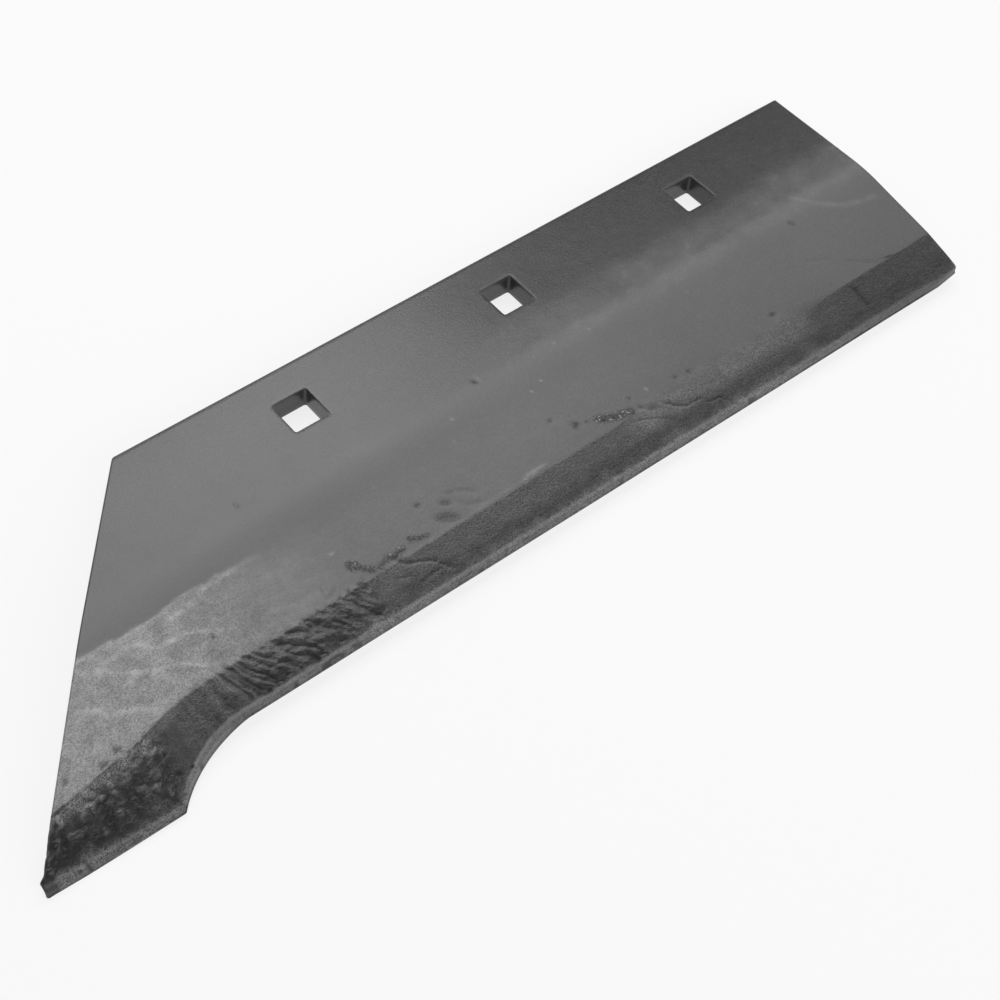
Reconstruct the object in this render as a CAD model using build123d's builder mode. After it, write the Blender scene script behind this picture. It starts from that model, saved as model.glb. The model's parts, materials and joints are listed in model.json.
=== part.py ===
from build123d import *
import os
from dataclasses import dataclass
from math import cos, pi, radians, sin, sqrt, tan

# Plough share with a drawn-down beak, forged from one steel plate, in millimetres.
# +X runs along the bolt row to the square outer end, +Y to the bolt edge and +Z out of the
# top face. The origin is the middle bolt hole's centre on the seat face, below the plate.

# Plate and bolt zone
plate_thickness = 10.0
plate_edge_radius = 0.8
bolt_margin = 22.0
outer_margin = 73.5
hole_side = 15.5
hole_corner_radius = 0.8
hole_pitch = 100.0
hole_count = 3

# Fold between the bolt zone and the lower zone, as an offset from the bolt row
fold_offset = 33.0
fold_angle = 10.5
fold_radius = 80.0

# Bevel and cutting edge of the blade, as offsets from the bolt row
ridge_offset = 72.0
bevel_angle = 15.5
inner_edge_offset = 88.2
outer_edge_offset = 91.9
edge_thickness = 4.5
nose_radius = 2.0
sole_radius = 0.8

# Eased corner of the cutting edge at the outer end
corner_ease = 1.2
corner_ease_length = 12.0

# Landside end, sheared on a slant from the bolt edge down to the beak's point
landside_margin = 67.3
landside_angle = 49.55

# Throat, the hollow curve from the cutting edge down to the beak's heel, where the edge is
# left thicker by a swell
throat_margin = 85.0
throat_length = 35.0
throat_swell = 2.2
throat_steps = 6

# Beak, from its heel to its blunt point, with offsets from the bolt row
heel_offset = 102.7
heel_ridge_offset = 77.5
heel_bevel_angle = 21.0
heel_thickness = 3.5
point_offset = 100.9
point_width = 3.9
point_ridge_offset = 84.5
point_bevel_angle = 25.0
point_thickness = 6.0

# Blunt nub that the forging leaves past the beak's point
nub_length = 1.6
nub_radius = 0.6

# Places that follow from the sizes
hole_span = hole_pitch * (hole_count - 1)
inner_hole = -hole_span / 2
outer_end = hole_span / 2 + outer_margin
landside_corner = inner_hole - landside_margin
throat = inner_hole - throat_margin
heel = throat - throat_length
landside_slope = tan(radians(landside_angle))
point = landside_corner - (bolt_margin + point_offset - point_width) / landside_slope
fold_slope = tan(radians(fold_angle))


def top_height(offset):
    """Height of the lower zone's top face at an offset from the bolt row."""
    return plate_thickness - (offset - fold_offset) * fold_slope


def under_height(offset):
    """Height of the lower zone's underside at an offset from the bolt row."""
    return top_height(offset) - plate_thickness / cos(radians(fold_angle))


@dataclass
class Lip:
    """Lower part of one section: where it bevels off and how thick its edge is."""

    ridge: float
    edge: float
    bevel: float
    thickness: float

    @property
    def top(self):
        return top_height(self.ridge) - (self.edge - self.ridge) * tan(radians(self.bevel))

    @property
    def bottom(self):
        return self.top - self.thickness

    def towards(self, other, share):
        """The lip part of the way from this one to another."""
        return Lip(
            self.ridge + (other.ridge - self.ridge) * share,
            self.edge + (other.edge - self.edge) * share,
            self.bevel + (other.bevel - self.bevel) * share,
            self.thickness + (other.thickness - self.thickness) * share,
        )


def draw_section(station, lip):
    """Draws the share's whole section at one place along the bolt row."""
    corners = [
        (bolt_margin, 0),
        (bolt_margin, plate_thickness),
        (-fold_offset, plate_thickness),
        (-lip.ridge, top_height(lip.ridge)),
        (-lip.edge, lip.top),
        (-lip.edge, lip.bottom),
        (-lip.ridge, under_height(lip.ridge)),
        (plate_thickness * tan(radians(fold_angle / 2)) - fold_offset, 0),
    ]
    radii = [
        plate_edge_radius,
        plate_edge_radius,
        fold_radius,
        0,
        nose_radius,
        sole_radius,
        0,
        fold_radius - plate_thickness,
    ]
    with BuildSketch(Plane.YZ.offset(station)) as section:
        with BuildLine():
            FilletPolyline(corners, radius=radii, close=True)
        make_face()
    return section.sketch


outer_lip = Lip(ridge_offset, outer_edge_offset, bevel_angle, edge_thickness)
inner_lip = Lip(ridge_offset, inner_edge_offset, bevel_angle, edge_thickness)
heel_lip = Lip(heel_ridge_offset, heel_offset, heel_bevel_angle, heel_thickness)
point_lip = Lip(point_ridge_offset, point_offset, point_bevel_angle, point_thickness)

# The throat's hollow curve is a circle's arc, which leaves the cutting edge along the bolt row
throat_depth = heel_offset - inner_edge_offset
throat_radius = (throat_length**2 + throat_depth**2) / (2 * throat_depth)


def throat_share(station):
    """How far down the hollow curve a place along the bolt row lies, from 0 to 1."""
    return (throat_radius - sqrt(throat_radius**2 - (throat - station) ** 2)) / throat_depth


def throat_lip(station):
    """The lip at a place in the throat, swollen most halfway along it."""
    lip = inner_lip.towards(heel_lip, throat_share(station))
    lip.thickness += throat_swell * sin(pi * (throat - station) / throat_length)
    return lip


stations = [throat - throat_length * step / throat_steps for step in range(throat_steps + 1)]

with BuildPart() as plough_share:
    # Straight blade
    loft([draw_section(outer_end, outer_lip), draw_section(throat, inner_lip)])

    # Hollow throat
    loft([draw_section(place, throat_lip(place)) for place in stations])

    # Beak, drawn down to its blunt point
    loft([draw_section(heel, heel_lip), draw_section(point, point_lip)])

    # Slanting landside end
    slant = radians(landside_angle)
    split(bisect_by=Plane((landside_corner, bolt_margin, 0), z_dir=(sin(slant), -cos(slant), 0)))

    # Blunt nub
    extrude(faces().sort_by(Axis.X)[0], amount=nub_length)
    fillet(faces().sort_by(Axis.X)[0].edges(), nub_radius)

    # Eased outer corner of the cutting edge
    with BuildSketch(Plane.XY):
        with BuildLine():
            Polyline(
                (outer_end - corner_ease_length, -outer_edge_offset - corner_ease),
                (outer_end - corner_ease_length, -outer_edge_offset),
                (outer_end, corner_ease - outer_edge_offset),
                (outer_end + corner_ease, corner_ease - outer_edge_offset),
                (outer_end + corner_ease, -outer_edge_offset - corner_ease),
                close=True,
            )
        make_face()
    extrude(amount=plate_thickness - outer_lip.bottom, both=True, mode=Mode.SUBTRACT)

    # Square bolt holes
    with BuildSketch(Plane.XY):
        with GridLocations(hole_pitch, 0, hole_count, 1):
            RectangleRounded(hole_side, hole_side, hole_corner_radius)
    extrude(amount=plate_thickness, mode=Mode.SUBTRACT)

plough_share.part.label = "plough_share"

os.makedirs("parts", exist_ok=True)
export_step(plough_share.part, "parts/plough_share.step")
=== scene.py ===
import json
import logging
import math
from dataclasses import dataclass
from enum import Enum

import bmesh
import bpy
import numpy as np
from mathutils import Matrix, Vector


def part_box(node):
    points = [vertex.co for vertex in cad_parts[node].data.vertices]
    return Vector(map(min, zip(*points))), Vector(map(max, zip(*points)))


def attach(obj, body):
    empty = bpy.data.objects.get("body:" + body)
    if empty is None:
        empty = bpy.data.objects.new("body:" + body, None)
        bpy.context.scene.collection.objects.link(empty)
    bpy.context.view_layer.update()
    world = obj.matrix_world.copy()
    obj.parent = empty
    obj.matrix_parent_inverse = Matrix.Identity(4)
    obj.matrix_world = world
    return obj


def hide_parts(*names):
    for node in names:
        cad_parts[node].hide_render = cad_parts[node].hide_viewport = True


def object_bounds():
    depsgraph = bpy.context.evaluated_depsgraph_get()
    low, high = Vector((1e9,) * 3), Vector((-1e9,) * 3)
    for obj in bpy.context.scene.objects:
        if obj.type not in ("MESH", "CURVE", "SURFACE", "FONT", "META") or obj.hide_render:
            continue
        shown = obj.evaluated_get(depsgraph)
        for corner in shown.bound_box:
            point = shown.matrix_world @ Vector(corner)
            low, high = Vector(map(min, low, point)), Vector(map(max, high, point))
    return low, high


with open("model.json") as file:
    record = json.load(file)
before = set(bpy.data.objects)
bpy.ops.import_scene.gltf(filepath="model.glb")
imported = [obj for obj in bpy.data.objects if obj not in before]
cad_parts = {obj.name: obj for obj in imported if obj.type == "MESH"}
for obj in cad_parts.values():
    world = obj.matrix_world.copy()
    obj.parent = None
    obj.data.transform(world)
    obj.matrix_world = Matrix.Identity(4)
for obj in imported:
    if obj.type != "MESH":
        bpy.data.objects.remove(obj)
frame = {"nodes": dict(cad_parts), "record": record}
CAD_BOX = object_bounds()

# The black forged share of a plough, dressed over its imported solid. Lengths are millimetres in
# the solid's own frame, and become metres where a mesh, lamp or camera is made.

MM = 0.001
NODE = "plough_share"

# Smallest length of a direction, and how near two places count as one
TINY = 1e-9
CLOSE = 1e-6

# A low and a high value, the same with a soft margin, a place as (x, y), a path and a colour
Span = tuple[float, float]
Stretch = tuple[float, float, float]
Place = tuple[float, float]
Path = tuple[Place, ...]
Colour = tuple[float, float, float]

log = logging.getLogger("plough_share")


def eased(low: float, high: float, value: np.ndarray) -> np.ndarray:
    """Rises smoothly from 0 at low to 1 at high."""
    share = np.clip((value - low) / (high - low), 0.0, 1.0)
    return share * share * (3.0 - 2.0 * share)


def between(low: float, high: float, soft: float, value: np.ndarray) -> np.ndarray:
    """1 from low to high, falling smoothly to 0 over a soft margin outside them."""
    return eased(low - soft, low, value) * (1.0 - eased(high, high + soft, value))


def near_path(x: np.ndarray, y: np.ndarray, path: Path) -> np.ndarray:
    """Measures how far points lie from a path.

    Args:
        x: Places along the bolt row.
        y: Places across the bolt row.
        path: The path's corners, as (x, y).

    Returns:
        Each point's distance to the nearest stretch of the path.
    """
    best = np.full(x.shape, np.inf)
    for (ax, ay), (bx, by) in zip(path, path[1:]):
        run_x, run_y = bx - ax, by - ay
        share = ((x - ax) * run_x + (y - ay) * run_y) / (run_x**2 + run_y**2)
        share = np.clip(share, 0.0, 1.0)
        best = np.minimum(best, np.hypot(x - ax - share * run_x, y - ay - share * run_y))
    return best


class Grain:
    """Seeded gradient noise on a plane, between about -1 and 1."""

    SIZE = 256
    SPREAD = 1.5
    LAYER_SHIFT = (17.3, -9.1)

    def __init__(self, seed: int) -> None:
        """Draws the directions of the lattice."""
        angles = np.random.default_rng(seed).uniform(0.0, 2.0 * np.pi, (self.SIZE, self.SIZE))
        self.east = np.cos(angles)
        self.north = np.sin(angles)

    def at(self, u: np.ndarray, v: np.ndarray) -> np.ndarray:
        """Gives the noise at places measured in its own grain size."""
        i = np.floor(u).astype(int)
        j = np.floor(v).astype(int)
        fu, fv = u - i, v - j

        def corner(a: int, b: int) -> np.ndarray:
            """The pull of one corner of the lattice's cell."""
            row, column = (i + a) % self.SIZE, (j + b) % self.SIZE
            return self.east[row, column] * (fu - a) + self.north[row, column] * (fv - b)

        su = fu**3 * (fu * (6.0 * fu - 15.0) + 10.0)
        sv = fv**3 * (fv * (6.0 * fv - 15.0) + 10.0)
        low = corner(0, 0) + su * (corner(1, 0) - corner(0, 0))
        high = corner(0, 1) + su * (corner(1, 1) - corner(0, 1))
        return self.SPREAD * (low + sv * (high - low))

    def rough(self, u: np.ndarray, v: np.ndarray, layers: int) -> np.ndarray:
        """Adds finer layers, each at half the size and half the height."""
        total = np.zeros_like(u)
        shift_u, shift_v = self.LAYER_SHIFT
        for layer in range(layers):
            step = 2.0**layer
            total += self.at(u * step + shift_u * layer, v * step + shift_v * layer) / step
        return total


@dataclass
class Lip:
    """Lower part of the section at each place: its ridge, edge, bevel and edge thickness."""

    ridge: np.ndarray
    edge: np.ndarray
    bevel: np.ndarray
    thickness: np.ndarray


@dataclass
class ShareForm:
    """The share's form: the same sizes as its solid, and the section that they give."""

    thickness: float
    bolt_margin: float
    outer_end: float
    tip: float
    holes: tuple[float, ...]
    edge_radius: float = 0.8
    hole_side: float = 15.5
    hole_corner: float = 0.8
    fold_offset: float = 33.0
    fold_angle: float = 10.5
    fold_radius: float = 80.0
    ridge_offset: float = 72.0
    ridge_radius: float = 3.0
    soft_ridge: Stretch = (16.0, 96.0, 22.0)
    soft_ridge_radius: float = 70.0
    bevel_angle: float = 15.5
    inner_edge: float = 88.2
    outer_edge: float = 91.9
    edge_thickness: float = 4.5
    nose_radius: float = 4.4
    nose_share: float = 0.9
    nose_end: Span = (150.0, 171.0)
    nose_end_cut: float = 0.55
    sole_radius: float = 0.9
    corner_ease: float = 1.2
    corner_ease_length: float = 12.0
    landside_margin: float = 67.3
    landside_angle: float = 49.55
    throat_margin: float = 85.0
    throat_length: float = 35.0
    throat_swell: float = 2.2
    heel_edge: float = 102.7
    heel_ridge: float = 77.5
    heel_bevel: float = 21.0
    heel_thickness: float = 3.5
    point_edge: float = 100.9
    point_width: float = 3.9
    point_ridge: float = 84.5
    point_bevel: float = 25.0
    point_thickness: float = 6.0
    nub_softness: float = 0.9

    @classmethod
    def from_frame(cls) -> "ShareForm":
        """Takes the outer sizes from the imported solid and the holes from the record's mounts."""
        low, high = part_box(NODE)
        mounts = frame["record"]["mounts"]
        rows = sorted(m["pos_m"][0] / MM for m in mounts if m["name"].endswith("bolt_hole"))
        return cls(high.z / MM, high.y / MM, high.x / MM, low.x / MM, tuple(rows))

    @property
    def fold_slope(self) -> float:
        """Fall of the lower zone for each millimetre down from the fold."""
        return math.tan(math.radians(self.fold_angle))

    @property
    def landside_slope(self) -> float:
        """Travel across the bolt row for each millimetre along the slanting end."""
        return math.tan(math.radians(self.landside_angle))

    @property
    def landside_corner(self) -> float:
        """Where the slanting end meets the bolt edge."""
        return self.holes[0] - self.landside_margin

    @property
    def throat(self) -> float:
        """Where the cutting edge starts to curve down."""
        return self.holes[0] - self.throat_margin

    @property
    def heel(self) -> float:
        """Where the hollow curve meets the beak."""
        return self.throat - self.throat_length

    @property
    def point(self) -> float:
        """Where the slanting end meets the blunt nub of the beak."""
        reach = self.bolt_margin + self.point_edge - self.point_width
        return self.landside_corner - reach / self.landside_slope

    def top_height(self, offset: np.ndarray) -> np.ndarray:
        """Height of the lower zone's top face at an offset from the bolt row."""
        return self.thickness - (offset - self.fold_offset) * self.fold_slope

    def under_height(self, offset: np.ndarray) -> np.ndarray:
        """Height of the lower zone's underside at an offset from the bolt row."""
        return self.top_height(offset) - self.thickness / math.cos(math.radians(self.fold_angle))

    def lip(self, x: np.ndarray) -> Lip:
        """Works out the lower part of the section at places along the bolt row.

        Args:
            x: Places along the bolt row.

        Returns:
            The ridge, edge, bevel and edge thickness at each place.
        """
        depth = self.heel_edge - self.inner_edge
        radius = (self.throat_length**2 + depth**2) / (2.0 * depth)
        into = np.clip(self.throat - x, 0.0, self.throat_length)
        curve = (radius - np.sqrt(radius**2 - into**2)) / depth
        beak = np.clip((self.heel - x) / (self.heel - self.point), 0.0, 1.0)
        blade = np.clip((x - self.throat) / (self.outer_end - self.throat), 0.0, 1.0)

        def blend(inner: float, heel: float, point: float) -> np.ndarray:
            """Goes from the blade's value to the heel's, then to the point's."""
            return inner + (heel - inner) * curve + (point - heel) * beak

        edge = blend(self.inner_edge, self.heel_edge, self.point_edge)
        edge = edge + (self.outer_edge - self.inner_edge) * blade
        ease_start = self.outer_end - self.corner_ease_length
        edge = edge - self.corner_ease * np.clip((x - ease_start) / self.corner_ease_length, 0, 1)
        thickness = blend(self.edge_thickness, self.heel_thickness, self.point_thickness)
        thickness = thickness + self.throat_swell * np.sin(np.pi * into / self.throat_length)
        ridge = blend(self.ridge_offset, self.heel_ridge, self.point_ridge)
        bevel = blend(self.bevel_angle, self.heel_bevel, self.point_bevel)
        return Lip(ridge, edge, bevel, thickness)

    def landside(self, y: np.ndarray) -> np.ndarray:
        """Where the share starts along the bolt row, at places across it, the nub with it."""
        slant = self.landside_corner - (self.bolt_margin - y) / self.landside_slope
        slant = np.maximum(slant, self.point)
        past = -y - (self.point_edge - self.point_width)
        nub = eased(-self.nub_softness, self.nub_softness, past)
        return slant + (self.tip - self.point) * nub


def steps(count: int) -> tuple[float, ...]:
    """Shares from 0 up to but not 1, in equal steps."""
    return tuple(step / count for step in range(count))


def spread(low: float, high: float, count: int) -> list[float]:
    """Places from low up to but not high, in equal steps."""
    return [low + (high - low) * share for share in steps(count)]


class Mark(Enum):
    """What each channel of the surface's colour attribute stands for."""

    # DARK holds dark marks and painted shade; PALE holds pale paint and painted highlights and sheen.
    DARK = 0
    SCALE = 1
    PALE = 2
    COARSE = 3


@dataclass(frozen=True)
class Trace:
    """What one kind of mark does: the height that it adds and its share of each channel.

    A firm mark keeps its strength nearly to its border, and the others fade from the middle out.
    """

    relief: float = 0.0
    dark: float = 0.0
    scale: float = 0.0
    pale: float = 0.0
    coarse: float = 0.0
    firm: bool = False


PIT = Trace(relief=-0.30, dark=1.5)
# LUMP's pale is a painted highlight on the lumps' tops.
LUMP = Trace(relief=0.45, dark=-0.60, pale=0.30)
CRACK = Trace(relief=-0.28, dark=0.95)
SEAM = Trace(relief=-0.10, dark=0.45)
# RIM's pale is a painted highlight along the paint's terrace edges.
RIM = Trace(relief=0.08, dark=-0.3, pale=0.75)
FLECK = Trace(relief=0.02, pale=0.8)
# SHEEN is a painted sheen.
SHEEN = Trace(pale=0.2)
BLISTER = Trace(relief=-0.10, dark=1.0, coarse=0.8, firm=True)
CRUST = Trace(relief=0.05, dark=0.9, scale=1.0, firm=True)
# DARK_AND_SHADE blackens real cracks and crust, and elsewhere it is painted shade.
DARK_AND_SHADE = Trace(dark=1.0)
SMOOTH = Trace(dark=-0.5, pale=0.10, coarse=-0.8)


class Canvas:
    """The skin's points in plan, with the relief and the marks laid on them."""

    def __init__(self, x: np.ndarray, y: np.ndarray, lip: Lip) -> None:
        """Starts with a bare surface.

        Args:
            x: Places along the bolt row.
            y: Places across it.
            lip: The lower part of the section at each place.
        """
        self.x = x
        self.y = y
        self.below = -y - lip.ridge
        self.width = lip.edge - lip.ridge
        self.edge = self.width - self.below
        self.relief = np.zeros_like(x)
        self.channels = {mark: np.zeros_like(x) for mark in Mark}

    def lay(self, share: np.ndarray, trace: Trace) -> None:
        """Adds a mark where share, from 0 to 1, says how strongly it shows."""
        self.relief += trace.relief * share
        for mark in Mark:
            amount = getattr(trace, mark.name.lower())
            if amount:
                self.channels[mark] += amount * share


@dataclass(frozen=True)
class Spot:
    """A round or oval mark."""

    FIRM_BORDER = (0.6, 1.25)

    trace: Trace
    x: float
    y: float
    long: float
    wide: float = 0.0
    turn: float = 0.0

    def share(self, x: np.ndarray, y: np.ndarray) -> np.ndarray:
        """How strongly the spot shows at each place."""
        turn = math.radians(self.turn)
        along = (x - self.x) * math.cos(turn) + (y - self.y) * math.sin(turn)
        across = (y - self.y) * math.cos(turn) - (x - self.x) * math.sin(turn)
        reach = np.hypot(along / self.long, across / (self.wide or self.long))
        if self.trace.firm:
            return 1.0 - eased(*self.FIRM_BORDER, reach)
        return np.exp(-(reach**2))


@dataclass(frozen=True)
class Stroke:
    """A mark drawn along a path, fading at its sides."""

    trace: Trace
    width: float
    path: Path

    def share(self, x: np.ndarray, y: np.ndarray) -> np.ndarray:
        """How strongly the stroke shows at each place."""
        return np.exp(-((near_path(x, y, self.path) / self.width) ** 2))


class Noise(Enum):
    """The seeded noises, some of which several kinds of mark share."""

    WAVES = 0
    BORDER = 1
    PATCHES = 2
    CLOUDS = 3
    FLAKES = 4
    DUSK = 5
    BEVEL = 6
    HAMMER = 7
    SLANT = 8
    CRUMBS = 9
    NICKS = 10
    BEAK = 11


@dataclass(frozen=True)
class Rough:
    """One use of a noise: its grains' size along and across, its layers and how far it swings."""

    noise: Noise
    size: Span
    layers: int
    height: float = 1.0
    shift: float = 0.0


class Noises:
    """Every seeded noise of the surface."""

    def __init__(self, seed: int) -> None:
        """Draws every noise."""
        self.grains = {noise: Grain(seed + noise.value) for noise in Noise}

    def over(self, rough: Rough, x: np.ndarray, y: np.ndarray) -> np.ndarray:
        """Lays one noise over places.

        Args:
            rough: Which noise, and how.
            x: Places along the bolt row, or along a slant.
            y: Places across it.

        Returns:
            The noise at each place, as high as it swings there.
        """
        size_x, size_y = rough.size
        grain = self.grains[rough.noise]
        return rough.height * grain.rough(x / size_x + rough.shift, y / size_y, rough.layers)


@dataclass(frozen=True)
class Layer:
    """One thing that rolling, forging or painting left on the share."""

    def lay(self, canvas: Canvas, noises: Noises) -> None:
        """Adds its relief and its marks to the canvas."""
        raise NotImplementedError


@dataclass(frozen=True)
class RolledWaves(Layer):
    """Slow waves of the rolled plate, never above the plate's own face."""

    waves: Rough = Rough(Noise.WAVES, (60.0, 38.0), 2)
    depth: float = 0.05

    def lay(self, canvas: Canvas, noises: Noises) -> None:
        """Sinks the waves into the face."""
        slow = noises.over(self.waves, canvas.x, canvas.y)
        canvas.relief += self.depth * (np.clip(slow, -1.0, 1.0) - 1.0)


@dataclass(frozen=True)
class EasedEdge(Layer):
    """The bevel curving down into the rounded cutting edge."""

    curve: float = 0.006
    width: float = 9.0

    def lay(self, canvas: Canvas, noises: Noises) -> None:
        """Sinks the face more and more towards the edge."""
        into = np.clip(self.width - canvas.edge, 0.0, self.width)
        canvas.relief -= self.curve * into**2


@dataclass(frozen=True)
class PaleZone(Layer):
    """Thin pale coarse paint below the fold near the beak, with a ragged upper border, partly a painted
    sheen: its lightness, strongest towards the landside end, stands for the light that the lower zone
    catches.
    """

    line: float = -42.6
    border: Rough = Rough(Noise.BORDER, (17.0, 12.0), 4, 1.5)
    crisp_end: Span = (-172.0, -140.0)
    crisp_border: Span = (-0.5, 0.7)
    soft_border: Span = (-9.0, 12.0)
    least: float = 0.10
    stronger: tuple[tuple[float, Span], ...] = ((0.56, (-172.0, -118.0)), (0.60, (-205.0, -160.0)))
    end: Span = (-30.0, 60.0)
    ridge: Span = (-0.6, 0.4)
    coarse: Trace = Trace(coarse=0.75)
    terrace_fall: float = 7.0
    terrace_slant: float = 0.35
    terrace_run: float = 9.0
    terrace_bend: Rough = Rough(Noise.PATCHES, (14.0, 9.0), 2, 0.9)
    terrace_share: float = 0.34
    cloud: Rough = Rough(Noise.CLOUDS, (6.0, 5.0), 3, 0.26)
    cloud_share: float = 0.72
    rim_width: float = 0.8
    rim_share: float = 0.5
    rim_flakes: Rough = Rough(Noise.FLAKES, (5.0, 5.0), 1, 0.8)
    fold_end: Span = (-24.0, 8.0)
    fold_stretch: Span = (-125.0, -65.0)
    fold_shade: Trace = Trace(dark=0.34)

    def lay(self, canvas: Canvas, noises: Noises) -> None:
        """Lays the pale paint and painted sheen, its rim of painted highlight and the painted shade above it.
        """
        x, y = canvas.x, canvas.y
        crisp = 1.0 - eased(*self.crisp_end, x)
        depth = self.line - y + noises.over(self.border, x, y)
        start = crisp * eased(*self.crisp_border, depth)
        start = start + (1.0 - crisp) * eased(*self.soft_border, depth)
        # paler towards the landside end: a painted sheen where the lower zone catches more light
        left = self.least
        for share, stretch in self.stronger:
            left = left + share * (1.0 - eased(*stretch, x))
        left = left * (1.0 - eased(*self.end, x))
        above = 1.0 - eased(*self.ridge, canvas.below)
        canvas.lay(start * left * self.cloudy(x, y, noises) * above, Trace(pale=1.0))
        canvas.lay(start * crisp * above, self.coarse)
        rim = np.exp(-(((depth - self.rim_width) / self.rim_width) ** 2)) * crisp
        canvas.lay(rim * (self.rim_share + noises.over(self.rim_flakes, x, y)).clip(0.0, 1.0), RIM)
        near_fold = (1.0 - eased(*self.fold_end, y)) * (1.0 - start)
        canvas.lay(near_fold * (1.0 - eased(*self.fold_stretch, x)), self.fold_shade)

    def cloudy(self, x: np.ndarray, y: np.ndarray, noises: Noises) -> np.ndarray:
        """How much paler or darker the paint is in its terraces and clouds."""
        level = y / self.terrace_fall + self.terrace_slant * x / self.terrace_run
        level = level + noises.over(self.terrace_bend, x, y)
        terrace = level - np.floor(level)
        return self.cloud_share + self.terrace_share * terrace + noises.over(self.cloud, x, y)


@dataclass(frozen=True)
class Dusk(Layer):
    """Rough dark paint along the bolt edge towards the outer end, deepened by painted shade, with a band of
    painted fold highlight below it.
    """

    holes: tuple[float, ...]
    border: Rough = Rough(Noise.DUSK, (22.0, 16.0), 4, 7.0)
    start: Span = (-52.0, 68.0)
    lower_border: Span = (-27.0, 8.0)
    lower_wander: float = 0.8
    ring_strengths: tuple[float, ...] = (0.0, 0.35, 0.55)
    ring: Span = (8.0, 26.0)
    ring_place: Place = (3.0, -2.0)
    ring_squash: float = 1.15
    streak: Stroke = Stroke(DARK_AND_SHADE, 7.0, ((12.0, -4.0), (24.0, -12.0), (34.0, -22.0)))
    streak_share: float = 0.45
    streak_wander: float = 0.4
    blotches: Rough = Rough(Noise.PATCHES, (6.0, 5.0), 3, 0.5)
    paint: Trace = Trace(dark=1.0, coarse=1.2)
    band: Stretch = (-28.0, -17.0, 9.0)
    band_start: Span = (-45.0, 25.0)
    band_wander: float = 0.28
    band_paint: Trace = Trace(pale=0.27)

    def lay(self, canvas: Canvas, noises: Noises) -> None:
        """Lays the dark paint and painted shade, then the band of painted fold highlight."""
        x, y = canvas.x, canvas.y
        ragged = noises.over(self.border, x, y)
        place = eased(*self.start, x + ragged) * eased(*self.lower_border, y + self.lower_wander * ragged)
        ring_x, ring_y = self.ring_place
        for hole, strength in zip(self.holes, self.ring_strengths):
            near = np.hypot(x - hole - ring_x, (y - ring_y) * self.ring_squash)
            place = place + strength * (1.0 - eased(*self.ring, near + ragged))
        wander = self.streak_wander * ragged
        place = place + self.streak_share * self.streak.share(x + wander, y + wander)
        blotch = 1.0 + noises.over(self.blotches, x, y)
        # darker rough paint, deepened as painted shade
        canvas.lay((1.0 - np.exp(-place)) * blotch, self.paint)
        # painted highlight along the fold
        lighter = between(*self.band, y + self.band_wander * ragged) * eased(*self.band_start, x)
        canvas.lay(lighter * (0.5 + 0.5 * blotch), self.band_paint)


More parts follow.
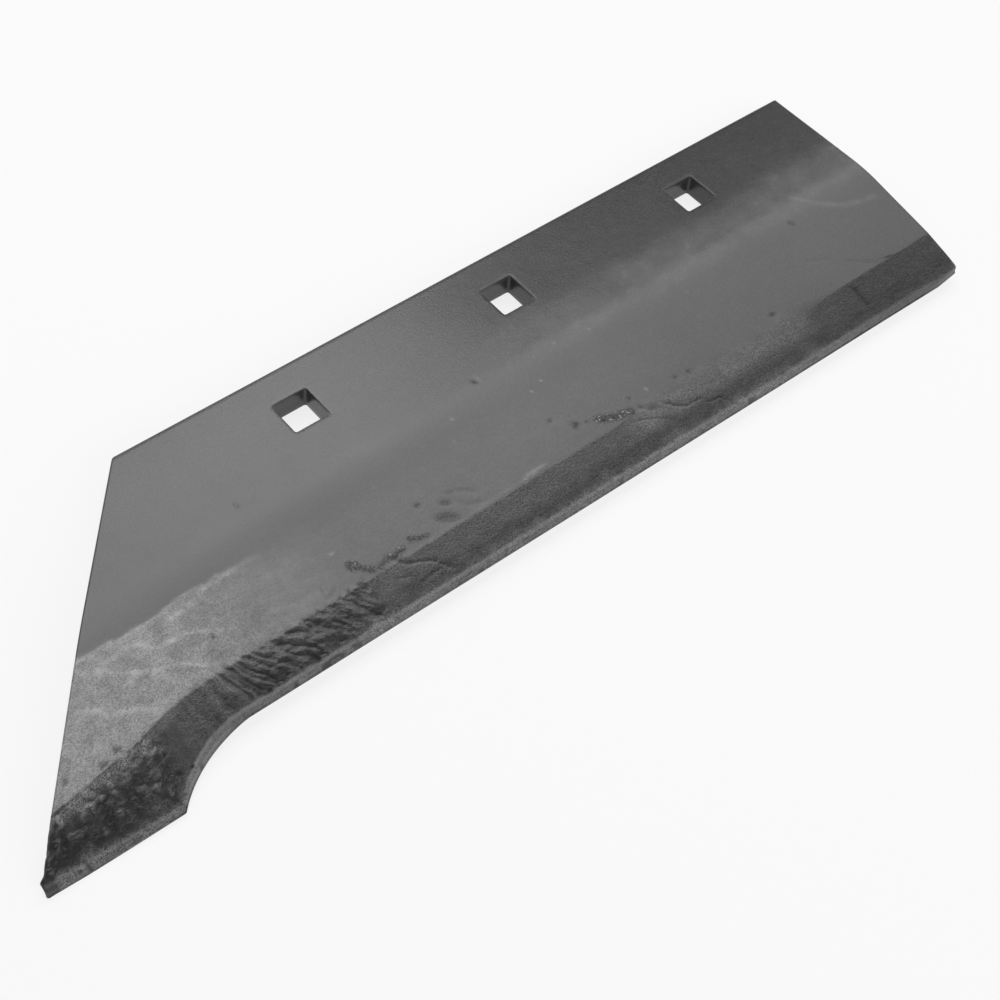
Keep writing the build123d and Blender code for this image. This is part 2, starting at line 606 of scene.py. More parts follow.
@dataclass(frozen=True)
class ShadedBevel(Layer):
    """The bevel's painted shade, lightened near the ridge by painted light, with a painted dark band above
    the cutting edge, stopping short of the edge itself.
    """

    border: Rough = Rough(Noise.BEVEL, (9.0, 5.0), 3)
    border_place: float = 0.2
    border_depth: float = 0.35
    border_crisp: float = 0.35
    border_soft: float = 4.0
    left_end: Span = (-135.0, -110.0)
    left_strength: float = 0.10
    right_start: Span = (102.0, 138.0)
    right_strength: float = 0.45
    middle: Stretch = (12.0, 84.0, 30.0)
    middle_strength: float = 0.02
    middle_cut: float = 0.75
    soft: Stretch = (10.0, 86.0, 16.0)
    stop: Span = (1.0, 6.5)
    stop_wander: float = 0.6
    coarse: Trace = Trace(coarse=1.0)
    right_coarse: Trace = Trace(coarse=0.7)
    soft_fall: Span = (2.5, 13.0)
    soft_wander: float = 1.5
    soft_paint: Trace = Trace(pale=0.52)
    plain: Stretch = (-118.0, 4.0, 12.0)
    plain_fall: Span = (6.0, 14.0)
    plain_paint: Trace = Trace(pale=0.18)
    streaks: Rough = Rough(Noise.WAVES, (9.0, 2.4), 3)
    streak_share: float = 0.22
    crumbs: Rough = Rough(Noise.CRUMBS, (2.6, 1.9), 2)
    crumb_share: float = 0.14
    right_crumb_share: float = 0.30
    band: Stretch = (5.2, 7.8, 2.8)
    band_start: Span = (-200.0, -180.0)
    band_wander: float = 1.8
    band_share: float = 0.7
    band_streaks: float = 0.8
    band_soft_cut: float = 0.4
    band_shade: Trace = Trace(dark=0.24)

    def lay(self, canvas: Canvas, noises: Noises) -> None:
        """Lays the bevel's roughness, painted light and painted shade, and its painted dark band."""
        x, below, edge = canvas.x, canvas.below, canvas.edge
        ragged = noises.over(self.border, x, canvas.y)
        right = eased(*self.right_start, x)
        soft = between(*self.soft, x)
        crisp = self.border_crisp + self.border_soft * soft
        start = eased(-crisp, crisp, below - self.border_place + self.border_depth * ragged * crisp)
        stop = eased(*self.stop, edge + self.stop_wander * ragged)
        canvas.lay(start * stop, self.coarse)
        canvas.lay(start * right, self.right_coarse)
        # painted light near the ridge
        fall = 1.0 - eased(*self.soft_fall, below + self.soft_wander * ragged)
        canvas.lay(start * soft * fall, self.soft_paint)
        plain = between(*self.plain, x) * (1.0 - eased(*self.plain_fall, below + ragged))
        canvas.lay(start * plain, self.plain_paint)
        streaks = noises.over(self.streaks, x, canvas.y)
        crumbs = noises.over(self.crumbs, x, canvas.y)
        uneven = self.streak_share * streaks + (self.crumb_share + self.right_crumb_share * right) * crumbs
        # painted shade over the bevel
        canvas.lay((self.strength(x, right) + uneven) * start * stop, Trace(dark=1.0))
        band = between(*self.band, edge + self.band_wander * ragged) * eased(*self.band_start, x)
        band = band * start * (self.band_share + self.band_streaks * streaks)
        canvas.lay(band * (1.0 - self.band_soft_cut * soft), self.band_shade)

    def strength(self, x: np.ndarray, right: np.ndarray) -> np.ndarray:
        """How much painted shade darkens the bevel at places along the row, with the share of the outer
        stretch.
        """
        left = self.left_strength * (1.0 - eased(*self.left_end, x))
        middle = self.middle_strength * (1.0 - self.middle_cut * between(*self.middle, x))
        return np.maximum(np.maximum(left, self.right_strength * right), middle)


@dataclass(frozen=True)
class ScuffAndHighlightEdge(Layer):
    """The cutting edge, with its paint scuffed pale and lightened further as a painted highlight, and small
    dark nicks.
    """

    border: Rough = Rough(Noise.BEVEL, (9.0, 5.0), 3)
    crumbs: Rough = Rough(Noise.CRUMBS, (2.6, 1.9), 2)
    fading: Span = (60.0, 150.0)
    fading_cut: float = 0.75
    broad: Span = (0.5, 8.0)
    broad_share: float = 0.45
    broad_wander: float = 1.4
    narrower: Stretch = (-205.0, -152.0, 12.0)
    narrower_cut: float = 0.25
    rim: Span = (-0.5, 3.8)
    rim_share: float = 0.42
    rim_wander: float = 0.4
    even_share: float = 0.9
    crumb_share: float = 0.4
    paint: Trace = Trace(pale=1.0, coarse=1.7)
    nicks: Rough = Rough(Noise.NICKS, (4.0, 1.4), 2)
    nick_least: float = 0.35
    nick_reach: Span = (1.0, 3.5)
    nick_shade: Trace = Trace(dark=1.6)

    def lay(self, canvas: Canvas, noises: Noises) -> None:
        """Lays the scuffed paint and painted highlight, then the nicks."""
        x, y, edge = canvas.x, canvas.y, canvas.edge
        ragged = noises.over(self.border, x, y)
        crumbs = noises.over(self.crumbs, x, y)
        faded = 1.0 - self.fading_cut * eased(*self.fading, x)
        broad = self.broad_share - self.narrower_cut * between(*self.narrower, x)
        # scuffed paint, and a painted highlight growing towards the edge
        scuff_and_highlight = broad * (1.0 - eased(*self.broad, edge + self.broad_wander * ragged))
        rim = 1.0 - eased(*self.rim, edge + self.rim_wander * ragged)
        scuff_and_highlight = scuff_and_highlight + self.rim_share * rim
        canvas.lay(scuff_and_highlight * faded * (self.even_share + self.crumb_share * crumbs), self.paint)
        nicks = (noises.over(self.nicks, x, y) - self.nick_least).clip(0.0, 1.0)
        canvas.lay(nicks * (1.0 - eased(*self.nick_reach, edge)), self.nick_shade)


@dataclass(frozen=True)
class HammerMarks(Layer):
    """Slanted grooves and dents of the hammer on the bevel beside the beak."""

    stretch: Stretch = (-207.0, -125.5, 2.0)
    border: Rough = Rough(Noise.HAMMER, (6.0, 5.0), 2, 1.5)
    ridge_gap: float = 1.2
    edge_gap: float = 3.6
    margin: float = 2.0
    margin_wander: float = 0.5
    slant: float = 0.10
    steeper: Span = (-195.0, -168.0)
    steeper_slant: float = 0.70
    flatter: Span = (-162.0, -140.0)
    flatter_slant: float = 0.25
    slant_line: float = 78.0
    wander: Rough = Rough(Noise.SLANT, (5.0, 4.0), 1, 0.9)
    grooves: Rough = Rough(Noise.CRUMBS, (2.3, 34.0), 3, 1.7)
    groove_height: float = 0.182
    groove_start: Span = (-207.0, -188.0)
    groove_fading: Span = (-172.0, -150.0)
    groove_cut: float = 0.45
    groove_shade: float = 0.95
    groove_highlight: float = 0.7
    dents: Rough = Rough(Noise.NICKS, (3.8, 5.2), 4)
    dent_height: float = 0.336
    dent_start: Span = (-186.0, -162.0)
    dent_least: float = 0.15
    dent_shade: float = 1.2
    dent_highlight: float = 0.6
    patches: Rough = Rough(Noise.FLAKES, (3.4, 3.0), 2, 0.9)
    patch_share: float = 0.75
    patch_range: Span = (0.15, 1.3)
    low: Stretch = (7.5, 12.0, 3.0)
    low_start: Span = (-192.0, -170.0)
    low_wander: float = 1.4
    low_shade: float = 0.40
    low_dull: float = 0.6
    fading: Span = (-158.0, -138.0)
    fading_cut: float = 0.4
    least_highlight: float = 0.06
    painted_light: Trace = Trace(pale=0.55)
    coarse: Trace = Trace(coarse=0.3)

    def lay(self, canvas: Canvas, noises: Noises) -> None:
        """Lays the grooves and dents, with painted shade in the hollows and a painted highlight on the
        crests, and a band of painted shade lower down.
        """
        x, y, below = canvas.x, canvas.y, canvas.below
        ragged = noises.over(self.border, x, y)
        place = between(*self.stretch, x + ragged)
        lowest = canvas.width - self.edge_gap
        place = place * between(self.ridge_gap, lowest, self.margin, below + self.margin_wander * ragged)
        slope = self.slant + self.steeper_slant * eased(*self.steeper, x)
        slope = slope - self.flatter_slant * eased(*self.flatter, x)
        slanted = x + slope * (y + self.slant_line) + noises.over(self.wander, x, y)
        grooves = noises.over(self.grooves, slanted, y)
        grooved = eased(*self.groove_start, x) * (1.0 - self.groove_cut * eased(*self.groove_fading, x))
        dents = noises.over(self.dents, slanted, y)
        dented = self.dent_least + (1.0 - self.dent_least) * eased(*self.dent_start, x)
        relief = self.dent_height * dented * dents + self.groove_height * grooved * grooves
        canvas.relief += place * relief
        patchy = (self.patch_share + noises.over(self.patches, x, y)).clip(*self.patch_range)
        # painted shade in the hollows, painted highlight on the crests
        hollow_shade = (-grooves).clip(0.0, 1.0) * grooved * self.groove_shade * patchy
        hollow_shade = hollow_shade + (-dents).clip(0.0, 1.0) * dented * self.dent_shade
        crest_highlight = grooves.clip(0.0, 1.0) * grooved * self.groove_highlight
        crest_highlight = crest_highlight + dents.clip(0.0, 1.0) * dented * self.dent_highlight
        low = between(*self.low, below + self.low_wander * ragged) * eased(*self.low_start, x)
        faded = 1.0 - self.fading_cut * eased(*self.fading, x)
        canvas.lay(place * (hollow_shade + self.low_shade * low) * faded, DARK_AND_SHADE)
        canvas.lay(place * (self.least_highlight + crest_highlight) * (1.0 - self.low_dull * low), self.painted_light)
        canvas.lay(place, self.coarse)


@dataclass(frozen=True)
class BeakFace(Layer):
    """The beak's rough drawn-out face: painted light under the ridge, painted shade that makes it black lower
    down, scuffed at the edge.
    """

    border: Rough = Rough(Noise.BEAK, (6.0, 5.0), 3, 2.2)
    heel: Span = (-219.0, -213.0)
    ridge: Span = (-0.2, 1.4)
    ridge_wander: float = 0.4
    lumps: Rough = Rough(Noise.BORDER, (6.4, 4.6), 4, 1.0, 31.0)
    lump_height: float = 0.42
    lump_range: Span = (-0.12, 0.30)
    slant: float = 0.8
    slant_line: float = 85.0
    wander: Rough = Rough(Noise.SLANT, (4.0, 4.0), 1, 0.5)
    scratches: Rough = Rough(Noise.PATCHES, (2.2, 30.0), 3)
    scratch_depth: float = 0.20
    scratch_stretch: Stretch = (-243.0, -214.0, 5.0)
    calm_edge: Span = (3.0, 9.0)
    calm_least: float = 0.25
    high: Span = (2.2, 10.0)
    high_wander: float = 0.7
    high_start: Span = (-262.0, -244.0)
    high_least: float = 0.55
    ledge: Stretch = (-248.0, -209.0, 8.0)
    ledge_top: Span = (-0.2, 1.0)
    ledge_fall: Span = (1.0, 5.0)
    ledge_wander: float = 0.5
    ledge_paint: Trace = Trace(dark=-0.4, pale=0.42)
    deep: Span = (3.0, 9.0)
    deep_edge: Span = (1.0, 6.5)
    deep_wander: float = 0.4
    deep_end: Span = (-242.0, -222.0)
    deep_cut: float = 0.75
    deep_shade: float = 1.15
    deep_lump: float = 0.50
    scratch_dark: float = 0.6
    between_lumps_shade: float = 0.22
    hollow_high_cut: float = 0.7
    most_dark: float = 1.2
    high_share: float = 0.55
    high_lump: float = 0.65
    high_scratch: float = 0.5
    most_high: float = 1.6
    high_paint: Trace = Trace(pale=0.76)
    lump_paint: Trace = Trace(pale=0.06)
    coarse: Trace = Trace(coarse=0.4)

    def lay(self, canvas: Canvas, noises: Noises) -> None:
        """Lays the lumps and scratches, then the ledge's painted light, the painted shade and the painted
        light under the ridge.
        """
        x, y, below, edge = canvas.x, canvas.y, canvas.below, canvas.edge
        ragged = noises.over(self.border, x, y)
        place = 1.0 - eased(*self.heel, x + ragged)
        place = place * eased(*self.ridge, below + self.ridge_wander * ragged)
        rough = noises.over(self.lumps, x, y)
        lump = eased(*self.lump_range, rough)
        slanted = x + self.slant * (y + self.slant_line) + noises.over(self.wander, x, y)
        scratch = (-noises.over(self.scratches, slanted, y - x)).clip(0.0, 1.0)
        scratch = scratch * between(*self.scratch_stretch, x)
        calm = self.calm_least + (1.0 - self.calm_least) * eased(*self.calm_edge, edge)
        canvas.relief += place * calm * (self.lump_height * rough - self.scratch_depth * scratch)
        # painted light under the ridge, painted shade lower down and between the lumps
        high = 1.0 - eased(*self.high, below + self.high_wander * ragged)
        high = high * (self.high_least + (1.0 - self.high_least) * eased(*self.high_start, x))
        ledge = between(*self.ledge, x) * (1.0 - eased(*self.ledge_fall, below + self.ledge_wander * ragged))
        canvas.lay(ledge * eased(*self.ledge_top, below), self.ledge_paint)
        deep = eased(*self.deep, below + ragged) * eased(*self.deep_edge, edge + self.deep_wander * ragged)
        deep = deep * (1.0 - self.deep_cut * eased(*self.deep_end, x + ragged))
        shade = deep * (self.deep_shade - self.deep_lump * lump) + self.scratch_dark * scratch
        shade = shade + self.between_lumps_shade * (1.0 - lump) * (1.0 - self.hollow_high_cut * high)
        canvas.lay(place * shade.clip(0.0, self.most_dark), DARK_AND_SHADE)
        painted_light = self.high_share + self.high_lump * lump - self.high_scratch * scratch
        canvas.lay(place * high * painted_light.clip(0.0, self.most_high), self.high_paint)
        canvas.lay(place * lump * calm, self.lump_paint)
        canvas.lay(place, self.coarse)


@dataclass(frozen=True)
class ShadedNub(Layer):
    """The nub past the beak's point, black all over with painted shade."""

    end: Span = (-268.2, -264.5)
    shade: Trace = Trace(dark=1.7)

    def lay(self, canvas: Canvas, noises: Noises) -> None:
        """Blackens the nub with painted shade."""
        canvas.lay(1.0 - eased(*self.end, canvas.x), self.shade)


@dataclass(frozen=True)
class SingleMarks(Layer):
    """Every mark that is listed one by one, with scale crust standing up where it lies."""

    warp_east: Rough = Rough(Noise.CLOUDS, (2.4, 2.4), 2, 0.40)
    warp_north: Rough = Rough(Noise.FLAKES, (2.4, 2.4), 2, 0.40)
    gaps: Rough = Rough(Noise.BEVEL, (3.6, 3.6), 2, 0.7)
    gap_share: float = 0.75
    gap_range: Span = (0.3, 1.0)
    crust: Rough = Rough(Noise.DUSK, (1.7, 1.7), 2)
    crust_height: float = 0.10

    MARKS = (
        Spot(PIT, -144, -22, 0.8),
        Spot(PIT, -38.6, -27.2, 0.8),
        Spot(PIT, 123.5, -37, 1.2, 0.6, -40),
        Spot(PIT, 124.4, -38.8, 0.8),
        Spot(PIT, -90.7, -58.6, 0.9),
        Spot(PIT, 84, -67.4, 1.1, 0.7),
        Spot(PIT, -26.3, -57, 0.6),
        Spot(PIT, -13.8, -65.1, 0.7),
        Spot(PIT, -18.9, -63.6, 1.0),
        Spot(PIT, 6.7, -66, 0.6),
        Spot(PIT, 29, -68.6, 0.6),
        Spot(PIT, 35.9, -69.1, 0.6),
        Spot(PIT, -180, -60.5, 0.5),
        Spot(PIT, -247, -76, 0.8),
        Spot(PIT, -221, -97.2, 0.9),
        Spot(PIT, -218.8, -84.4, 0.9),
        Spot(PIT, -216.2, -85.3, 0.8),
        Spot(PIT, -215.6, -92.8, 1.1, 0.5, -35),
        Spot(PIT, -210.5, -92.8, 1.0, 0.6),
        Spot(PIT, -207.4, -93.4, 1.0, 0.5),
        Spot(BLISTER, -234.2, -77.7, 1.9, 1.1),
        Spot(BLISTER, -228, -76, 1.5, 1.2),
        Spot(BLISTER, -84.2, -67.8, 5.0, 2.1, -24),
        Spot(BLISTER, -81.4, -62.6, 2.5, 1.3, -25),
        Spot(CRUST, -124.6, -64.6, 2.9, 2.2, -30),
        Spot(SMOOTH, -209, -85, 6.5, 7.5),
        # Lumps with painted highlights on their tops.
        Spot(LUMP, -252.5, -91.4, 2.4, 0.7, -16),
        Spot(LUMP, -245.2, -95, 1.1, 0.7),
        Spot(LUMP, -244.5, -86.6, 1.4, 0.8),
        Spot(LUMP, -244.8, -88.6, 0.5, 1.4, 10),
        Spot(LUMP, -240.6, -86.2, 1.2, 0.7),
        Spot(LUMP, -238, -92.7, 1.5, 0.5),
        Spot(LUMP, -235.8, -87.2, 1.3, 0.8),
        Spot(LUMP, -236.2, -84.3, 1.4, 0.8),
        Spot(LUMP, -255.6, -86.0, 1.0),
        Spot(LUMP, -259, -89.4, 0.9),
        Spot(LUMP, -260, -91.4, 0.8),
        Spot(LUMP, -265.6, -96, 0.9),
        Spot(LUMP, -224, -92.3, 0.9),
        Spot(LUMP, -221, -95.9, 1.1, 0.6),
        Spot(LUMP, -218.6, -82.6, 1.2, 0.6),
        Spot(FLECK, -99.2, -43.5, 0.5),
        Spot(FLECK, -57.5, -36.3, 0.5),
        Spot(FLECK, -17.4, -41.2, 0.5),
        Spot(FLECK, -23.6, -42.8, 0.5),
        Spot(FLECK, 15.5, -65.7, 0.5),
        Spot(FLECK, 60, -40.3, 0.5),
        Spot(FLECK, 14.7, -32.6, 0.5),
        Spot(FLECK, -2.2, -30.6, 0.5),
        Spot(FLECK, -63, -44.5, 0.45),
        Spot(FLECK, -128, -57, 1.2, 0.35, -10),
        Spot(FLECK, 171.2, -15.4, 1.0, 0.6, 40),
        Stroke(CRUST, 1.3, ((-121.6, -67.6), (-119.4, -69.6))),
        Stroke(CRUST, 1.2, ((-116, -69.8), (-112.6, -68.8), (-110, -69.2), (-106, -68.6))),
        Stroke(CRUST, 0.9, ((-101.2, -67), (-98.1, -68.4), (-94.9, -68.9))),
        Stroke(CRUST, 1.5, ((-10, -65.7), (-6.1, -67.4), (-1, -69), (3.4, -69.9))),
        Stroke(DARK_AND_SHADE, 0.8, ((-10, -65.8), (-6, -67.8), (-2.5, -68.8))),
        Stroke(CRUST, 0.8, ((-19.6, -64.2), (-18.2, -63.2))),
        Stroke(CRACK, 0.42, ((-110.5, -70.6), (-107.3, -75), (-103.3, -75.9), (-98.3, -78.7))),
        Stroke(CRACK, 0.42, ((-98.3, -78.7), (-96, -81.8), (-94.1, -84.1))),
        Stroke(SEAM, 0.6, ((-113.8, -77.3), (-108.4, -79.4), (-107.2, -82.5), (-101, -82.2), (-98, -82.3))),
        Stroke(CRACK, 0.45, ((-255.6, -99), (-254.9, -101), (-254.4, -103))),
        Stroke(SEAM, 0.5, ((-243.5, -99.5), (-244.6, -101), (-245.4, -103))),
        Stroke(CRACK, 0.45, ((123.3, -74.6), (123.6, -78), (123.4, -80), (123.8, -84.3))),
        Stroke(DARK_AND_SHADE, 1.0, ((123.3, -74.6), (123.6, -78), (123.4, -80), (123.8, -84))),
        Stroke(SEAM, 0.6, ((-125, -71.5), (-125.4, -75), (-124.2, -78.4), (-125, -81), (-124.4, -83))),
        Stroke(SEAM, 0.5, ((-78.1, -60), (-76.8, -65.3), (-74.2, -68.2), (-69.9, -69.1))),
        Stroke(SEAM, 0.45, ((-78.1, -60), (-73.7, -61.5), (-70.6, -63.4), (-68.3, -65.6))),
        Stroke(SEAM, 0.45, ((3.4, -74.5), (11, -77.6), (15.3, -80.7), (17.9, -84.1))),
        Stroke(CRACK, 0.4, ((7.5, -70.4), (11.2, -73.4), (16.5, -72.8), (19.9, -76.1), (24.8, -79.7))),
        Stroke(SEAM, 0.5, ((24.8, -79.7), (31.2, -79.7), (34.5, -83.3), (39.2, -83.5), (42.6, -86.9))),
        Stroke(SEAM, 0.35, ((115.5, -55.2), (120.6, -57.3), (124.9, -59.3))),
        Stroke(SEAM, 0.35, ((131.8, -64.3), (137.9, -69.2), (142.8, -71.6), (148, -72), (152.7, -72.9))),
        Stroke(SEAM, 0.5, ((-139, -66.2), (-139.7, -70), (-137.6, -70.2), (-135.1, -68.7))),
        # Pale rims of the paint's terraces: painted highlights.
        Stroke(RIM, 0.8, ((-206.8, -47.7), (-201.9, -49.3), (-197.5, -53.9), (-191.8, -54.4))),
        Stroke(RIM, 0.8, ((-191.8, -54.4), (-187.1, -54.2), (-182.5, -56.4), (-175.8, -60))),
        Stroke(RIM, 0.9, ((-223.8, -47), (-217.4, -50.5), (-213.3, -53.2), (-209, -57.2), (-202.7, -59.5))),
        Stroke(RIM, 0.7, ((-202.7, -59.5), (-197, -61.8), (-193.3, -63.3), (-188, -67.4))),
        Stroke(RIM, 0.9, ((-231, -58.2), (-226, -61.5), (-222.7, -65.3), (-217.6, -66.4), (-210.9, -71))),
        Stroke(RIM, 0.8, ((-188, -47.4), (-180, -46.4), (-172, -44), (-166, -42.4), (-160, -44.4))),
        Stroke(RIM, 0.6, ((-240.6, -70.8), (-238.4, -73.5), (-238.6, -77.5))),
        Stroke(RIM, 0.6, ((-49.8, -70.8), (-46.3, -70.4), (-40.3, -70.2))),
        # Painted sheen along the fold at the outer end and along the ridge.
        Stroke(SHEEN, 1.3, ((133.6, -27), (141, -36), (150.5, -42.5), (160.8, -45.3), (165.7, -46))),
        Stroke(SHEEN, 0.5, ((-121, -71.4), (-98.7, -71.6), (-71.6, -71.3), (-49.8, -71))),
        # Painted shade along the landside edge by the point and round the nub.
        Stroke(DARK_AND_SHADE, 1.5, ((-270, -98), (-265, -95.4), (-260, -90.4), (-256.6, -86.4))),
        Stroke(DARK_AND_SHADE, 1.4, ((-271, -98), (-271, -104), (-263, -103.4))),
        Stroke(DARK_AND_SHADE, 0.5, ((-154.6, -88.4), (-151, -88), (-146, -88.4))),
        Stroke(DARK_AND_SHADE, 0.4, ((-142, -88.2), (-138, -88.6))),
    )

    def lay(self, canvas: Canvas, noises: Noises) -> None:
        """Lays the marks a little out of shape, and the pale rims with gaps."""
        x, y = canvas.x, canvas.y
        east = x + noises.over(self.warp_east, x, y)
        north = y + noises.over(self.warp_north, x, y)
        broken = (self.gap_share + noises.over(self.gaps, x, y)).clip(*self.gap_range)
        for mark in self.MARKS:
            share = mark.share(east, north)
            canvas.lay(share * broken if mark.trace is RIM else share, mark.trace)
        crust = np.clip(canvas.channels[Mark.SCALE], 0.0, 1.0)
        canvas.relief += self.crust_height * crust * noises.over(self.crust, x, y)


@dataclass
class ForgedSurface:
    """What rolling, hammering, scale and paint left on the share: its relief and its marks, with painted
    shade and painted highlights among the marks.
    """

    form: ShareForm
    seed: int = 7
    most: float = 3.0

    def layers(self) -> tuple[Layer, ...]:
        """The layers of the top side, in the order in which they are laid."""
        return (
            EasedEdge(),
            PaleZone(),
            Dusk(self.form.holes),
            ShadedBevel(),
            ScuffAndHighlightEdge(),
            HammerMarks(),
            BeakFace(),
            ShadedNub(),
            SingleMarks(),
        )

    def apply(self, x: np.ndarray, y: np.ndarray, upper: np.ndarray) -> tuple[np.ndarray, np.ndarray]:
        """Works out the relief and the marks at every point.

        Args:
            x: Places along the bolt row.
            y: Places across the bolt row.
            upper: 1 on the top side down to the cutting edge and 0 on the underside.

        Returns:
            The height to add along the surface's normal, and the four marks.
        """
        noises = Noises(self.seed)
        canvas = Canvas(x, y, self.form.lip(x))
        for layer in self.layers():
            layer.lay(canvas, noises)
        canvas.relief *= upper
        RolledWaves().lay(canvas, noises)
        marks = np.stack([canvas.channels[mark] for mark in Mark], axis=-1)
        return canvas.relief, np.clip(marks, 0.0, self.most) * upper[..., None]


class Wire:
    """One output of a shader node, with the sums that shader maths is written in."""

    def __init__(self, tree: bpy.types.NodeTree, socket: bpy.types.NodeSocket) -> None:
        """Keeps the tree and the socket."""
        self.tree = tree
        self.socket = socket

    def _sum(self, operation: str, first: "Wire | float", second: "Wire | float") -> "Wire":
        """Adds one Math node."""
        node = self.tree.nodes.new("ShaderNodeMath")
        node.operation = operation
        for place, value in enumerate((first, second)):
            if isinstance(value, Wire):
                self.tree.links.new(value.socket, node.inputs[place])
            else:
                node.inputs[place].default_value = value
        return Wire(self.tree, node.outputs[0])

    def __add__(self, other: "Wire | float") -> "Wire":
        """self + other."""
        return self._sum("ADD", self, other)

    __radd__ = __add__

    def __sub__(self, other: "Wire | float") -> "Wire":
        """self - other."""
        return self._sum("SUBTRACT", self, other)

    def __mul__(self, other: "Wire | float") -> "Wire":
        """self * other."""
        return self._sum("MULTIPLY", self, other)

    __rmul__ = __mul__

    def __truediv__(self, other: "Wire | float") -> "Wire":
        """self / other."""
        return self._sum("DIVIDE", self, other)

    def least(self, other: "Wire | float") -> "Wire":
        """The smaller of the two."""
        return self._sum("MINIMUM", self, other)

    def most(self, other: "Wire | float") -> "Wire":
        """The larger of the two."""
        return self._sum("MAXIMUM", self, other)


class Shader:
    """A material's or the world's node tree, built from expressions."""

    def __init__(self, tree: bpy.types.NodeTree) -> None:
        """Empties the tree."""
        tree.nodes.clear()
        self.tree = tree

    def node(self, kind: str, settings: dict | None = None, inputs: dict | None = None) -> bpy.types.Node:
        """Adds any node.

        Args:
            kind: The node's type.
            settings: Its own settings, set first. The key "stops" holds a ramp's two (place, value) pairs.
            inputs: Values or wires for its sockets, by name or number.

        Returns:
            The new node.
        """
        made = self.tree.nodes.new(kind)
        for name, value in (settings or {}).items():
            if name == "stops":
                self._stops(made.color_ramp, value)
            else:
                setattr(made, name, value)
        for name, value in (inputs or {}).items():
            if isinstance(value, Wire):
                self.tree.links.new(value.socket, made.inputs[name])
            else:
                made.inputs[name].default_value = value
        return made

    @staticmethod
    def _stops(ramp: bpy.types.ColorRamp, stops: list[Span]) -> None:
        """Sets a new ramp's two gray stops."""
        for element, (place, value) in zip(ramp.elements, stops):
            element.position = place
            element.color = (value, value, value, 1.0)

    def wire(
        self, kind: str, settings: dict | None = None, inputs: dict | None = None, out: str | int = 0
    ) -> Wire:
        """Adds any node and gives one of its outputs."""
        return Wire(self.tree, self.node(kind, settings, inputs).outputs[out])

    def noise(self, place: Wire, size: float, detail: float = 2.0, rough: float = 0.6) -> Wire:
        """Noise with grains of a size in millimetres, between about 0 and 1."""
        inputs = {"Vector": place, "Scale": 1.0 / size, "Detail": detail, "Roughness": rough}
        return self.wire("ShaderNodeTexNoise", None, inputs, "Fac")

    def ramp(self, value: Wire, span: Span, ends: Span = (0.0, 1.0)) -> Wire:
        """Goes straight from one gray to another while a value goes through a span."""
        return self.wire("ShaderNodeValToRGB", {"stops": list(zip(span, ends))}, {0: value})

    def mix(self, share: Wire | float, first: Wire | Colour, second: Wire | Colour) -> Wire:
        """Mixes two colours."""
        made = self.node("ShaderNodeMix", {"data_type": "RGBA"}, {"Factor": share})
        for name, value in (("A", first), ("B", second)):
            socket = next(s for s in made.inputs if s.name == name and s.type == "RGBA")
            if isinstance(value, Wire):
                self.tree.links.new(value.socket, socket)
            else:
                socket.default_value = (*value, 1.0)
        return Wire(self.tree, next(s for s in made.outputs if s.type == "RGBA"))

    def finish(self, kind: str, surface: Wire) -> None:
        """Ends the tree at its output node."""
        made = self.tree.nodes.new(kind)
        self.tree.links.new(surface.socket, made.inputs["Surface"])


@dataclass(frozen=True)
class PaintNoise:
    """Where the paint is, in millimetres, and its noises: grain, finer pebbles, mottling and flecks."""

    place: Wire
    grain: Wire
    pebble: Wire
    mottle: Wire
    fleck: Wire


